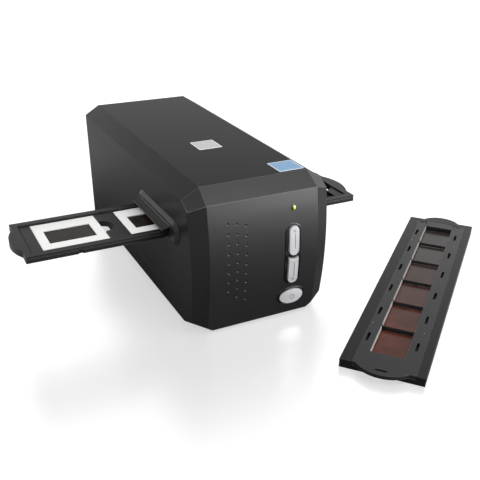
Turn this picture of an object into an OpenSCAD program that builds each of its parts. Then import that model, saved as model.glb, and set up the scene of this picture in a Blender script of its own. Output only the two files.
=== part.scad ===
// Film negative scanner: a tall narrow case with a bowed front, keys and a status
// light, a mounted-slide holder passing through side slots under dust flaps, an
// inner scanning carriage on guide rods, and a film strip holder lying beside it.
// Millimetres, X right, Y back, Z up, origin on the desk under the case centre.

/* [Case] */
// Width across the side walls
body_w = 120; // [118:1:124]
// Depth from the bowed front to the rear face
body_d = 271; // [269:1:276]
// Height from the underside to the top
body_h = 116; // [114:1:124]
// Height of the underside above the desk
foot_gap = 1.5; // [1:0.25:2.5]
// Thickness of the case walls
wall = 2.5; // [2:0.25:2.75]
// Width of the bevel along each top side edge
top_cut_w = 13.7; // [11:0.1:14.5]
// Height of that bevel
top_cut_h = 8.5; // [7.5:0.1:9]
// Width of the flat front between its side bevels
face_w = 94; // [92:1:96]
// How far the front bulges at mid height
front_bow = 5.5; // [4.5:0.25:6]
// Depth of the front's side bevels
side_cut_d = 7.2; // [6.5:0.1:8]
// Depth of the sloped strip where the front meets the top
brow_d = 15; // [13:0.5:17]
// Height of that sloped strip
brow_h = 9.8; // [8.5:0.1:11]
// How far each side wall leans in towards its lower edge
side_draft = 1.8; // [1:0.1:2.2]
// Size of the small bevel along the lower side edges
edge_cut = 2.4; // [1.5:0.1:2.4]
// How far back the facet at each upper front corner reaches on the side
corner_back = 1.2; // [0.8:0.1:2]
// How far below the top side edge the front seam turns
seam_drop = 5.4; // [4.5:0.1:7]
// Height of the angled lower front corners
low_cut_h = 8; // [6:0.5:9]
// Width of the angled lower front corners
low_cut_w = 17.5; // [14:0.5:19]
// Depth of the angled lower front corners
low_cut_d = 25; // [22:0.5:28]
// Distance from the front face to the bottom cover
cover_back = 14; // [12:0.5:18]
// Distance from the front face to the skirt of the bottom cover
skirt_back = 35; // [31:0.5:40]
// Height of the skirt of the bottom cover
skirt_h = 17; // [15.5:0.5:18.5]
// Radius of the front corner of that skirt
skirt_r = 10; // [8:0.5:11]
// Diameter of each rubber foot
foot_dia = 16; // [13:0.5:18]
// Depth of the pocket each foot sits in
foot_pocket = 1; // [0.75:0.25:1.25]
// Distance of each foot from the side
foot_in = 18; // [16:0.5:20]
// Distance of the rear feet from the rear face
foot_back = 24; // [20:0.5:26]
// Distance of the front feet from the front
foot_front = 32; // [28:0.5:34]
// Distance of each case screw from the side
case_screw_in = 9; // [8:0.25:10]

/* [Front controls] */
// Distance of the key column from the centre line
key_x = 24.5; // [22:0.5:25.5]
// Height of the middle of the key surround above the underside
key_up = 55.1; // [53:0.1:58]
// Length of the key surround
surround_len = 52.1; // [50:0.5:54]
// Width of the key surround
surround_w = 14; // [13:0.25:15]
// Width of the two scan keys
key_w = 8.3; // [7.8:0.1:8.6]
// Depth of each scan key in front of its surround
key_proud = 1.8; // [1.2:0.1:2.4]
// Width of the curved bridge between the two scan keys
key_bridge = 2.6; // [1.6:0.1:3]
// Width of the power key
power_w = 21.1; // [20:0.1:21.5]
// Height of the power key
power_h = 12.3; // [11.5:0.1:12.5]
// Height of the centre of the power key above the underside
power_up = 17.2; // [16.2:0.1:18]
// How far the power key stands outside the key column
power_side = 1; // [0:0.25:2]
// Width of the ring around the power key
ring_border = 1.5; // [1.2:0.1:1.8]
// Travel of every key
key_travel = 1; // [0.6:0.1:1]
// Diameter of the status light
led_dia = 4; // [3:0.25:5]
// Drop of the status light below the front's top crease
led_drop = 12.5; // [9:0.5:18]
// Diameter of the front vent dimples
dimple_dia = 1.8; // [1.4:0.1:2.2]
// Depth of the front vent dimples
dimple_depth = 0.8; // [0.5:0.1:1.4]
// Diameter of a dimple's floor
dimple_foot = 0.6; // [0.4:0.1:0.9]

/* [Slot and flaps] */
// Height of the slide holder's underside above the case's underside
slot_up = 69; // [66:0.5:76]
// Distance from the front face to the middle of the slots
slot_back = 69.75; // [68:0.25:80]
// Width of the hood's flat rim above and below the slot
hood_rim = 1.9; // [1.6:0.1:2.4]
// Length of each hood beyond the slot, both ends together
hood_over = 21.4; // [20:0.2:26]
// How far each hood stands out from the wall
hood_proud = 2.4; // [2.2:0.1:3]
// How far the hood tapers in towards its outer edge
hood_taper = 2.9; // [2.4:0.1:3.4]
// Reach of a dust flap from its hinge to its free edge
flap_reach = 6.4; // [5:0.2:8]
// Drop of that free edge below the hinge
flap_drop = 2.2; // [1.6:0.1:2.8]
// Thickness of a dust flap
flap_t = 1.2; // [1:0.1:1.3]
// Diameter of the flap hinge pins
flap_pin_dia = 1.2; // [1:0.1:1.3]

/* [Slide holder] */
// Width of the slide holder
holder_w = 62.5; // [60:0.25:66]
// Thickness of the slide holder
holder_t = 5.5; // [5.2:0.1:6]
// Where the middle of the holder stands along X
holder_x = -29.75; // [-31:0.25:-28.5]
// Size of a square slide mount
slide_size = 50.8; // [49:0.1:52]
// Thickness of a slide mount
slide_t = 1.8; // [1.4:0.1:2]
// Length of the picture window in a slide mount
frame_l = 36; // [34:0.5:37]
// Width of the picture window in a slide mount
frame_w = 24; // [23:0.5:25]
// Distance between neighbouring slides
slide_pitch = 67.3; // [65:0.1:70]
// Length of the bar at each end of the row of slides
end_bar = 9.1; // [8.5:0.1:10]
// Thickness of the rim at each end
end_rim = 5.1; // [4.5:0.1:6]
// How far the grip tab stands out at each end
grip_out = 5.5; // [4:0.25:6.5]
// Width of the grip tab
grip_w = 40; // [34:1:42]

/* [Film strip holder] */
// Number of film windows
strip_frames = 6; // [4:1:6]
// Distance between neighbouring film windows
frame_pitch = 41.6; // [39:0.1:42]
// Width of the bar between neighbouring windows
window_bar = 3.6; // [3:0.1:5]
// Width of the film windows
window_w = 26; // [23:0.5:27]
// Length of the holder beyond its windows, at each end
strip_end = 16.2; // [15:0.2:20]
// Width of the film strip holder
strip_w = 62.5; // [61:0.25:66]
// Thickness of its base plate
strip_base_t = 4; // [3.6:0.1:4.2]
// Height of its side rails
strip_rail_h = 7; // [6.6:0.1:7.4]
// Width of its narrow side rail
strip_rail_w = 6.2; // [5.5:0.1:7]
// Width of its wide side rail
wide_rail_w = 9; // [8:0.1:9.4]
// Width of the film strip
film_w = 35; // [34:0.1:36]
// How far the curved lip of the lid stands out at the near end
lip_out = 9; // [6:0.5:10]
// How far the grip tab stands out at the far end
tab_out = 9.5; // [6:0.5:10]
// Distance of the lid's hinge from the far end
hinge_in = 7; // [6.8:0.1:8]
// Where its middle lies along X
strip_x = 148.9; // [146:0.1:162]
// Where its middle lies along Y
strip_y = -143.2; // [-162:0.1:-142]
// Angle of its long side from the X direction
strip_turn = 40.6; // [38:0.1:44]

/* [Carriage and drive] */
// Diameter of the two guide rods
rod_dia = 6; // [5:0.25:6.5]
// Distance of each guide rod from the edge of the chassis plate
rod_in = 8; // [7.5:0.25:10]
// Height of the guide rods above the tray's underside
rod_up = 6; // [5.5:0.25:7]
// Travel of the scanning carriage
scan_travel = 32; // [26:0.5:36]
// Diameter of the lead screw
screw_dia = 6; // [5:0.25:7]
// Diameter of the stepper motor
motor_dia = 25; // [20:0.5:28]
// Length of the stepper motor
motor_len = 16; // [14:0.5:17]
// Diameter of the lens barrel
lens_dia = 22; // [18:0.5:26]
// Height of the lamp hood's underside above the slide holder
lamp_gap = 8; // [7:0.5:12]
// Thickness of the circuit boards
board_t = 1.6; // [1.2:0.1:1.8]

/* [Hidden] */
$fn = 64;
gap = 0.3;
fit = 0.15;
half_w = body_w / 2;
half_d = body_d / 2;
z_bot = foot_gap;
z_top = foot_gap + body_h;
z_floor = z_bot + wall;
y_crease = -half_d + front_bow;
y_brow = y_crease + brow_d;
y_panel = half_d - wall;
face_half = face_w / 2;
z_side = z_top - top_cut_h;
// length of a cutting block that clears the whole case
reach = body_w + body_d;
// bow of the front face
bow_top = z_top - brow_h;
bow_z = (bow_top + z_bot) / 2;
bow_h = bow_top - z_bot;
bow_r = bow_h * bow_h / (8 * front_bow) + front_bow / 2;
bow_y = -half_d + bow_r;
// the same bow along the side bevels
cut_w = half_w - face_half;
cut_turn = atan2(side_cut_d, cut_w);
cut_bow = front_bow * cos(cut_turn);
cut_r = bow_h * bow_h / (8 * cut_bow) + cut_bow / 2;
// corner points where the top, side and front bevels meet
p_top = [half_w - top_cut_w, y_brow, z_top];
p_side = [half_w, y_brow + corner_back, z_side];
p_front = [face_half, y_crease, bow_top];
p_seam = [half_w, y_crease + side_cut_d - 0.1, z_side - seam_drop];
seam_bow = 3.3;
seam_back = 0.4;
seam_half = p_seam[2] - bow_z;
seam_r = seam_half * seam_half / (2 * seam_bow) + seam_bow / 2;
seam_y = p_seam[1] - seam_bow + seam_r;
y_cover = y_crease + cover_back;
skirt_y = y_crease + skirt_back;
z_skirt = z_bot + skirt_h;
foot_x = half_w - foot_in;
foot_y = [-half_d + foot_front, half_d - foot_back];
// slots, hoods and flaps
slot_y = y_crease + slot_back;
holder_z = z_bot + slot_up;
holder_top = holder_z + holder_t;
pin_cheek = 2.4;
barrel_r = 1.4;
bead_r = 1;
hinge_x = half_w + 0.6;
hinge_z = holder_top + 0.4 + bead_r + flap_drop;
slot_half = holder_w / 2 + 2.55;
slot_z0 = holder_z - 0.4;
slot_z1 = hinge_z + barrel_r + gap;
hood_in = half_w - 3.8;
hood_face = half_w - 0.4;
hood_out = hood_face + hood_proud;
hood_len = 2 * slot_half + hood_over;
hood_y = slot_y - 3.35;
hood_z = holder_top + 0.2;
hood_r = slot_z1 - hood_z + hood_rim + hood_taper;
// slide holder
bay = slide_size + 0.5;
ledge = 2.6;
ledge_z = holder_top - 2 - slide_t;
holder_len = 3 * slide_pitch + bay + 2 * end_bar + 2 * end_rim;
bay_x = [-1.5, -0.5, 0.5, 1.5] * slide_pitch;
film_t = 0.2;
notch_depth = 1.2;
finger_r = 10;
nose_w = 2;
// guide rails of the slide holder, and their legs
guide_y0 = slot_y - holder_w / 2 - gap;
guide_y1 = slot_y + holder_w / 2 + gap;
guide_w = 5;
leg_w = 3.5;
leg_back = 0.5;
guide_z0 = holder_z - 4.5;
// inner frame
plate_z = z_floor + 4;
plate_t = 1.5;
plate_top = plate_z + plate_t;
plate_half = half_w - 14;
plate_y0 = y_crease + 15;
plate_y1 = y_panel - 13;
plate_screw_x = plate_half - 5;
plate_screw_y = [guide_y0 - leg_back + 4.3, plate_y1 - 22];
plate_screw_r = 1.5;
case_screw_x = half_w - case_screw_in;
case_screw_y = [y_crease + 50, y_panel - 36];
case_screw_r = 1.5;
screw_head_r = 2.8;
post_r = 3.4;
label_t = 0.2;
// guide rods and drive, each piece placed from the one behind it
rod_x = plate_half - rod_in;
rod_y0 = plate_y0 + 3;
rod_y1 = plate_y1 - 4;
clamp_l = 8;
motor_y = rod_y1 - 12;
bracket_t = 2.5;
bracket_y = motor_y - bracket_t;
screw_z = plate_top + motor_dia / 2 + 0.5;
// carriage
tray_z = screw_z + 5.5;
tray_t = 2;
tray_top = tray_z + tray_t;
rod_z = tray_z + rod_up;
tray_half = rod_x - rod_dia / 2 - 2;
tray_y0 = rod_y0 + clamp_l + 6 + scan_travel;
tray_y1 = bracket_y - 11.5;
ear_l = 12;
ear_y = [guide_y0 - leg_back + 2.3 + scan_travel, tray_y1 - 14];
bushing_r = rod_dia / 2 + 2;
sensor_y = tray_y1 - 8.4;
nut_l = 14;
nut_y = ear_y[1] - nut_l;
bearing_l = 8;
bearing_y = nut_y - scan_travel - 16;
journal_r = 2;
// optics
optic_x = holder_x + slide_pitch / 2;
optic_z = tray_top + lens_dia / 2 + 3;
scan_y = slot_y + scan_travel / 2;
mirror_t = 2;
mirror_half = tray_half - 11;
arm_y = guide_y1 + guide_w + 1.7 + scan_travel;
arm_l = 10;
lens_y = arm_y - 10;
lamp_z = holder_top + lamp_gap;
lamp_h = 6;
lamp_half = mirror_half + 1;
home_x = optic_x - 24.9;
// heights and places on the front
key_z = z_bot + key_up;
power_z = z_bot + power_up;
power_x = key_x + power_side;
led_z = bow_top - led_drop;
led_x = key_x + 0.4;
// key stack, measured from the front face inwards
skin = 5;
flange_t = 1.5;
key_reach = surround_len / 2 - 1.55;
key_split = 0.3;
hug_z = key_z + key_split + key_w / 2;
bridge_r = key_w / 2 + gap + key_bridge;
dimple_flare = 2;
dimple_slope = (dimple_dia - dimple_foot) / 2 / dimple_depth;
stem_r = 2;
switch_y = y_crease + 8.5;
stem_end = switch_y - key_travel - gap;
board_y = switch_y + 3.5;
button_z = [key_z + 13.4, key_z - 11.6];
ring_w = power_w + 2 * gap;
ring_h = power_h + 2 * gap;
front_board_z = [z_floor + 4, led_z + 5.8];
// columns of vent dimples: place along X, drop below the crease, pitch, number
dimple_cols = [[-31, 15.8, 7.94, 8], [-23.7, 17.1, 7.6, 9], [-16.2, 19.3, 7.83, 9]];
// main board and its ports
main_y = y_panel - 7;
main_half = half_w - 15;
main_z = [z_floor + 8, z_top - 19.5];
port_z = z_bot + 28.6;
port_h = 11.2;
usb_x = 20.3;
usb_w = 12.6;
jack_x = -26;
jack_w = 10;
lock_x = 40.5;
lock_w = 7;
// film strip holder
film_len = strip_frames * frame_pitch;
strip_len = film_len + 2 * strip_end;
strip_half = strip_len / 2;
window_l = frame_pitch - window_bar;
lid_y0 = strip_rail_w + gap - strip_w / 2;
lid_y1 = strip_w / 2 - wide_rail_w - gap;
lid_z = strip_base_t + gap;
lid_t = 3;
lid_top = lid_z + lid_t;
bar_drop = 2.1;
film_z = strip_base_t - 1;
strip_pin_x = strip_half - hinge_in;
strip_pin_z = strip_base_t + 2;
strip_pin_r = 1;
knuckle_r = 2.1;
knuckle_y = 12.7;
knuckle_l = 3;
lug_y = knuckle_y + knuckle_l + gap;
lug_l = 4;

// ---------------------------------------------------------------- helpers

// box between two corners
module block(a, b) {
    translate(a)
        cube([b[0] - a[0], b[1] - a[1], b[2] - a[2]]);
}

// an XZ outline run from y0 to y1
module run_y(y0, y1) {
    translate([0, y1, 0])
        rotate([90, 0, 0])
            linear_extrude(height = y1 - y0)
                children();
}

// a YZ outline run from x0 to x1
module run_x(x0, x1) {
    translate([x0, 0, 0])
        rotate([90, 0, 90])
            linear_extrude(height = x1 - x0)
                children();
}

// round bar along X
module bar_x(r, x0, x1, y, z) {
    translate([x0, y, z])
        rotate([0, 90, 0])
            cylinder(r = r, h = x1 - x0);
}

// round bar along Y
module bar_y(r, y0, y1, x, z) {
    translate([x, y1, z])
        rotate([90, 0, 0])
            cylinder(r = r, h = y1 - y0);
}

// round bar along Z
module bar_z(r, z0, z1, x, y) {
    translate([x, y, z0])
        cylinder(r = r, h = z1 - z0);
}

// upright bar with half-round ends, along Y
module oblong_y(w, z0, z1, y0, y1, x) {
    r = w / 2;
    bar_y(r, y0, y1, x, z0 + r);
    bar_y(r, y0, y1, x, z1 - r);
    block([x - r, y0, z0 + r], [x + r, y1, z1 - r]);
}

// the same on both sides of the case
module both_sides() {
    children();
    mirror([1, 0, 0])
        children();
}

// the half space beyond three points, moved in by t
module beyond(p, q, r, t) {
    c = cross(q - p, r - p);
    n = c / norm(c);
    translate(p)
        rotate([0, acos(n[2]), atan2(n[1], n[0])])
            translate([-reach / 2, -reach / 2, -t])
                cube(reach);
}

// ---------------------------------------------------------------- case

// half width of the side wall at height z, inset by t
function wall_x(z, t) = half_w - t - side_draft * (z_side - z) / (z_side - z_bot);

// cross-section of the case, inset by t, from height z0 up
module case_section(t, z0, cut) {
    l = norm([top_cut_w, top_cut_h]);
    xt = half_w - top_cut_w - t * (l - top_cut_w) / top_cut_h;
    zs = z_side - t * (l - top_cut_h) / top_cut_w;
    xb = wall_x(z0, t);
    xc = wall_x(z0 + cut, t);
    low = cut > 0 ? [[xc, z0 + cut], [xb - cut, z0], [cut - xb, z0], [-xc, z0 + cut]]
                  : [[xb, z0], [-xb, z0]];
    side = [[-half_w + t, zs], [-xt, z_top - t], [xt, z_top - t], [half_w - t, zs]];
    polygon(concat(side, low));
}

// long section of the case, inset by t
module case_profile(t, y1, z0) {
    l = norm([brow_d, brow_h]);
    yf = -half_d - 10;
    polygon([
        [y1, z0],
        [y1, z_top - t],
        [y_brow + t * (l - brow_d) / brow_h, z_top - t],
        [yf, z_top - t * l / brow_d + brow_h * (yf - y_brow) / brow_d],
        [yf, z0]
    ]);
}

// everything behind the bowed front, inset by t
module bow_body(t) {
    translate([0, bow_y, bow_z])
        rotate([0, 90, 0])
            cylinder(r = bow_r - t, h = 2 * body_w, center = true, $fn = 180);
}

// everything behind the right side bevel, inset by t
module bevel_body(t) {
    translate([face_half, y_crease, bow_z])
        rotate([0, 0, cut_turn])
            translate([0, cut_r - cut_bow, 0])
                rotate([0, 90, 0])
                    cylinder(r = cut_r - t, h = 2 * reach, center = true, $fn = 180);
}

// solid case form, inset by t
module case_form(t, y1, z0, cut) {
    low_a = [half_w - low_cut_w, y_crease, z_bot];
    low_b = [half_w - side_draft, y_crease + low_cut_d, z_bot];
    low_c = [half_w - side_draft + 0.1, y_crease + side_cut_d, z_bot + low_cut_h];
    difference() {
        intersection() {
            run_y(-half_d - 5, y1)
                case_section(t, z0, cut);
            run_x(-half_w - 1, half_w + 1)
                case_profile(t, y1, z0);
            bow_body(t);
            bevel_body(t);
            mirror([1, 0, 0])
                bevel_body(t);
        }
        both_sides() {
            beyond(p_top, p_front, p_side, t);
            beyond(low_a, low_b, low_c, t);
        }
    }
}

// walls of the whole case, open at the rear
module case_shell() {
    difference() {
        case_form(0, half_d, z_bot, edge_cut);
        case_form(wall, half_d + 5, z_floor, 0);
    }
}

// everything behind the seam of the front bezel
module seam_body() {
    past = p_seam + 0.3 * (p_seam - p_side);
    difference() {
        translate([0, seam_y, bow_z])
            rotate([0, 90, 0])
                cylinder(r = seam_r, h = 2 * body_w, center = true, $fn = 180);
        run_x(-body_w, body_w)
            polygon([
                [y_brow + seam_back, z_top + 5],
                [y_brow + seam_back, z_top],
                [p_side[1] + seam_back, p_side[2]],
                [past[1], past[2]],
                [-half_d - 10, past[2]],
                [-half_d - 10, z_top + 5]
            ]);
    }
}

// the part of the walls that belongs to the bottom cover
module cover_zone() {
    block([-body_w, y_cover, -5], [body_w, body_d, z_floor]);
    block([-body_w, skirt_y, -5], [body_w, body_d, z_skirt - skirt_r]);
    block([-body_w, skirt_y + skirt_r, -5], [body_w, body_d, z_skirt]);
    bar_x(skirt_r, -body_w, body_w, skirt_y + skirt_r, z_skirt - skirt_r);
}

// outline block of one hood, straight through the wall
module hood_plug(x0, x1) {
    y0 = hood_y - hood_len / 2 + hood_r;
    y1 = hood_y + hood_len / 2 - hood_r;
    bar_x(hood_r, x0, x1, y0, hood_z);
    bar_x(hood_r, x0, x1, y1, hood_z);
    block([x0, y0, hood_z - hood_r], [x1, y1, hood_z + hood_r]);
}

module top_housing() {
    boss_z = z_skirt + 3.5;
    boss_h = 10.5;
    web_t = 3;
    color([0.09, 0.09, 0.1]) {
        difference() {
            intersection() {
                case_shell();
                seam_body();
            }
            cover_zone();
            both_sides()
                hood_plug(half_w - 10, half_w + 5);
        }
        // bosses for the case screws
        for (y = case_screw_y)
            both_sides()
                difference() {
                    union() {
                        bar_z(post_r, boss_z, boss_z + boss_h, case_screw_x, y);
                        block([case_screw_x, y - web_t / 2, boss_z + 0.2],
                              [wall_x(z_skirt, wall / 2), y + web_t / 2, boss_z + boss_h - 1]);
                    }
                    bar_z(case_screw_r, z_skirt, z_skirt + 12, case_screw_x, y);
                }
    }
}

// a band that follows the bowed front, from out in front of it to in behind it
module front_band(out, in) {
    intersection() {
        difference() {
            bow_body(-out);
            bow_body(in);
        }
        block([-face_half, -half_d - 10, z_bot], [face_half, y_brow, bow_top]);
    }
}

// oval run along Y
module oval_y(w, h, y0, y1) {
    translate([power_x, 0, power_z])
        run_y(y0, y1)
            polygon([for (i = [0:47]) [w / 2 * cos(i * 7.5), h / 2 * sin(i * 7.5)]]);
}

// where the bowed front lies along Y at a height
function face_y(z) = bow_y - sqrt(bow_r * bow_r - pow(z - bow_z, 2));

// cone that leaves a tapered hollow in the bowed front
module dimple(x, z) {
    translate([x, face_y(z) + dimple_depth, z])
        rotate([90, 0, 0])
            cylinder(r1 = dimple_foot / 2, r2 = dimple_dia / 2 + dimple_slope * dimple_flare,
                     h = dimple_depth + dimple_flare);
}

module front_bezel() {
    color([0.2, 0.2, 0.21])
        difference() {
            case_shell();
            seam_body();
            oblong_y(surround_w, key_z - surround_len / 2, key_z + surround_len / 2,
                       -half_d - 10, y_crease + 10, key_x);
            oval_y(ring_w + 2 * ring_border, ring_h + 2 * ring_border, -half_d - 10, y_crease + 10);
            bar_y(led_dia / 2, -half_d - 10, y_crease + 10, led_x, led_z);
            for (c = dimple_cols)
                for (i = [0:c[3] - 1])
                    dimple(c[0], bow_top - c[1] - i * c[2]);
        }
}

// block around the middle of a port
module port_block(x, w, h, y0, y1) {
    block([x - w / 2, y0, port_z - h / 2], [x + w / 2, y1, port_z + h / 2]);
}

module rear_panel() {
    lock_h = 3;
    cool_w = 50;
    cool_h = 2.4;
    cool_pitch = 6;
    cool_z = z_top - 57.5;
    color([0.1, 0.1, 0.11])
        difference() {
            intersection() {
                case_form(wall, half_d, z_floor, 0);
                block([-half_w, y_panel, 0], [half_w, half_d, z_top]);
            }
            // openings for the port, the jack and the lock, and the cooling slots
            port_block(usb_x, usb_w, port_h, y_panel - 1, half_d + 1);
            port_block(jack_x, jack_w, port_h, y_panel - 1, half_d + 1);
            port_block(lock_x, lock_w, lock_h, y_panel - 1, half_d + 1);
            for (i = [0:5])
                block([-cool_w / 2, y_panel - 1, cool_z + cool_pitch * i],
                      [cool_w / 2, half_d + 1, cool_z + cool_pitch * i + cool_h]);
        }
}

module bottom_cover() {
    vent_l = 40;
    vent_w = 3.5;
    vent_pitch = 9;
    vent_y = slot_y + 30.25;
    color([0.07, 0.07, 0.08]) {
        difference() {
            intersection() {
                case_shell();
                seam_body();
                cover_zone();
            }
            for (x = [-foot_x, foot_x])
                for (y = foot_y)
                    bar_z(foot_dia / 2, z_bot - 1, z_bot + foot_pocket, x, y);
            for (x = [-case_screw_x, case_screw_x])
                for (y = case_screw_y) {
                    bar_z(case_screw_r, 0, z_skirt, x, y);
                    bar_z(screw_head_r + 0.2, 0, z_bot + 1.4, x, y);
                }
            for (i = [0:7])
                block([-vent_l / 2, vent_y + vent_pitch * i, 0],
                      [vent_l / 2, vent_y + vent_pitch * i + vent_w, z_floor + 1]);
        }
        // posts for the case screws and the inner frame
        for (x = [-case_screw_x, case_screw_x])
            for (y = case_screw_y)
                difference() {
                    bar_z(post_r, z_floor, z_skirt + 3.5, x, y);
                    bar_z(case_screw_r, z_floor - 1, z_skirt + 4, x, y);
                }
        for (x = [-plate_screw_x, plate_screw_x])
            for (y = plate_screw_y)
                difference() {
                    bar_z(4, z_floor, plate_z, x, y);
                    bar_z(plate_screw_r, z_floor + 0.5, plate_z + 1, x, y);
                }
    }
}

module rubber_feet() {
    color([0.05, 0.05, 0.05])
        for (x = [-foot_x, foot_x])
            for (y = foot_y)
                bar_z(foot_dia / 2, 0, z_bot + foot_pocket, x, y);
}

// cross recess in a screw head
module cross_slot(w, z0, z1, x, y) {
    block([x - 1.6, y - w, z0], [x + 1.6, y + w, z1]);
    block([x - w, y - 1.6, z0], [x + w, y + 1.6, z1]);
}

module case_screws() {
    color([0.7, 0.7, 0.72])
        for (x = [-case_screw_x, case_screw_x])
            for (y = case_screw_y)
                difference() {
                    union() {
                        bar_z(case_screw_r, z_bot + 1.4, z_skirt + 12, x, y);
                        bar_z(screw_head_r, z_bot + 0.2, z_bot + 1.4, x, y);
                    }
                    cross_slot(0.3, z_bot - 1, z_bot + 0.8, x, y);
                }
}

module white_label() {
    color([0.93, 0.92, 0.88])
        block([-11.1, y_crease + 92.1, z_top], [9.9, y_crease + 113.6, z_top + label_t]);
}

module blue_label() {
    color([0.2, 0.5, 0.78])
        block([half_w - 36.5, y_crease + 17.8, z_top],
              [half_w - 14.5, y_crease + 38.8, z_top + label_t]);
}

// ---------------------------------------------------------------- slots and flaps

// hood on the right side
module hood() {
    y0 = hood_y - hood_len / 2 + hood_r;
    y1 = hood_y + hood_len / 2 - hood_r;
    r1 = hood_r - hood_taper;
    difference() {
        union() {
            hood_plug(hood_in, hood_face);
            for (y = [y0, y1])
                translate([hood_face, y, hood_z])
                    rotate([0, 90, 0])
                        cylinder(r1 = hood_r, r2 = r1, h = hood_proud);
            run_y(y0, y1)
                polygon([
                    [hood_face, hood_z - hood_r],
                    [hood_out, hood_z - r1],
                    [hood_out, hood_z + r1],
                    [hood_face, hood_z + hood_r]
                ]);
        }
        block([hood_in - 1, slot_y - slot_half, slot_z0], [hood_out + 1, slot_y + slot_half, slot_z1]);
        for (y = [slot_y - slot_half - pin_cheek, slot_y + slot_half - 1])
            bar_y(flap_pin_dia / 2, y, y + pin_cheek + 1, hinge_x, hinge_z);
    }
}

module left_slot_hood() {
    color([0.24, 0.24, 0.25])
        mirror([1, 0, 0])
            hood();
}

module right_slot_hood() {
    color([0.24, 0.24, 0.25])
        hood();
}

module flap_pins() {
    color([0.75, 0.75, 0.77])
        both_sides()
            bar_y(flap_pin_dia / 2, slot_y - slot_half - pin_cheek, slot_y + slot_half + pin_cheek,
                  hinge_x, hinge_z);
}

// dust flap on the right side, lying out over the slide holder
module dust_flap() {
    y0 = slot_y - slot_half + gap;
    y1 = slot_y + slot_half - gap;
    reach = norm([flap_reach, flap_drop]);
    difference() {
        union() {
            bar_y(barrel_r, y0, y1, hinge_x, hinge_z);
            bar_y(bead_r, y0, y1, hinge_x + flap_reach, hinge_z - flap_drop);
            translate([hinge_x, 0, hinge_z])
                rotate([0, atan2(flap_drop, flap_reach), 0])
                    block([barrel_r - 0.3, y0 + 0.2, -flap_t / 2], [reach, y1 - 0.2, flap_t / 2]);
        }
        bar_y(flap_pin_dia / 2 + fit, y0 - 1, y1 + 1, hinge_x, hinge_z);
    }
}

module left_dust_flap() {
    color([0.13, 0.13, 0.14])
        mirror([1, 0, 0])
            dust_flap();
}

module right_dust_flap() {
    color([0.13, 0.13, 0.14])
        dust_flap();
}

// ---------------------------------------------------------------- front controls

module key_surround() {
    color([0.03, 0.03, 0.03])
        difference() {
            intersection() {
                oblong_y(surround_w, key_z - surround_len / 2, key_z + surround_len / 2,
                           -half_d - 5, y_crease + 10, key_x);
                front_band(0.5, skin);
            }
            // a hole for each scan key, with the curved bridge left between them
            oblong_y(key_w + 2 * gap, key_z + key_split - gap, key_z + key_reach + gap,
                       -half_d - 6, y_crease + 11, key_x);
            difference() {
                oblong_y(key_w + 2 * gap, key_z - key_reach - gap, hug_z + key_w / 2 + gap,
                           -half_d - 6, y_crease + 11, key_x);
                bar_y(bridge_r, -half_d - 7, y_crease + 12, key_x, hug_z);
            }
        }
}

module power_ring() {
    color([0.03, 0.03, 0.03])
        difference() {
            intersection() {
                oval_y(ring_w + 2 * ring_border, ring_h + 2 * ring_border, -half_d - 5, y_crease + 10);
                front_band(0.5, skin);
            }
            oval_y(ring_w, ring_h, -half_d - 6, y_crease + 11);
        }
}

module status_light() {
    y_led = face_y(led_z);
    color([0.75, 0.85, 0.2])
        intersection() {
            bar_y(led_dia / 2, y_led - 1, board_y, led_x, led_z);
            translate([led_x, y_led + 3, led_z])
                union() {
                    sphere(r = 3.8);
                    block([-5, 0, -5], [5, 30, 5]);
                }
        }
}

// front of a scan key: it follows the bow and stands proud of it
module key_front(z0, z1) {
    intersection() {
        oblong_y(key_w, z0, z1, -half_d - 5, y_crease + 10, key_x);
        front_band(0.5 + key_proud, skin + gap);
    }
}

// flange behind the surround, and the stem that reaches the switch
module key_back(z0, z1, zs) {
    intersection() {
        oblong_y(key_w + 2 * flange_t, z0, z1, -half_d - 5, y_crease + 10, key_x);
        front_band(-skin - gap, skin + gap + flange_t);
    }
    bar_y(stem_r, y_crease - 2, stem_end, key_x, zs);
}

module upper_key() {
    color([0.8, 0.8, 0.82]) {
        key_front(key_z + key_split, key_z + key_reach);
        key_back(key_z + key_split + 1.8, key_z + key_reach + flange_t, button_z[0]);
    }
}

module lower_key() {
    color([0.8, 0.8, 0.82]) {
        difference() {
            key_front(key_z - key_reach, hug_z + key_w / 2);
            bar_y(bridge_r + gap, -half_d - 6, y_crease + 11, key_x, hug_z);
        }
        key_back(key_z - key_reach - flange_t, key_z - 0.6, button_z[1]);
    }
}

module power_key() {
    y_face = face_y(power_z);
    dome = 45;
    color([0.8, 0.8, 0.82]) {
        intersection() {
            oval_y(power_w, power_h, -half_d - 5, y_crease + 10);
            difference() {
                translate([power_x, y_face - 2.6 + dome, power_z])
                    sphere(r = dome, $fn = 120);
                bow_body(skin + gap);
            }
        }
        intersection() {
            oval_y(power_w + 2.4, power_h + 2.4, -half_d - 5, y_crease + 10);
            front_band(-skin - gap, skin + gap + flange_t);
        }
        bar_y(stem_r, y_face + 6, stem_end, power_x, power_z);
    }
}

module front_board() {
    color([0.05, 0.3, 0.14])
        block([key_x - 16.5, board_y, front_board_z[0]],
              [key_x + 19.5, board_y + board_t, front_board_z[1]]);
    // spacers that hold the board on the bezel
    color([0.05, 0.3, 0.14])
        for (z = [front_board_z[0] + 20, front_board_z[1] - 5])
            intersection() {
                bar_y(2.5, -half_d, board_y, key_x - 14, z);
                case_form(wall, half_d, z_floor, 0);
            }
}

module front_switches() {
    color([0.12, 0.12, 0.13])
        for (p = [[key_x, button_z[0]], [key_x, button_z[1]], [power_x, power_z]]) {
            block([p[0] - 3, switch_y + 0.9, p[1] - 3], [p[0] + 3, board_y, p[1] + 3]);
            bar_y(1.7, switch_y, switch_y + 0.9, p[0], p[1]);
        }
}

// ---------------------------------------------------------------- electronics

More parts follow.
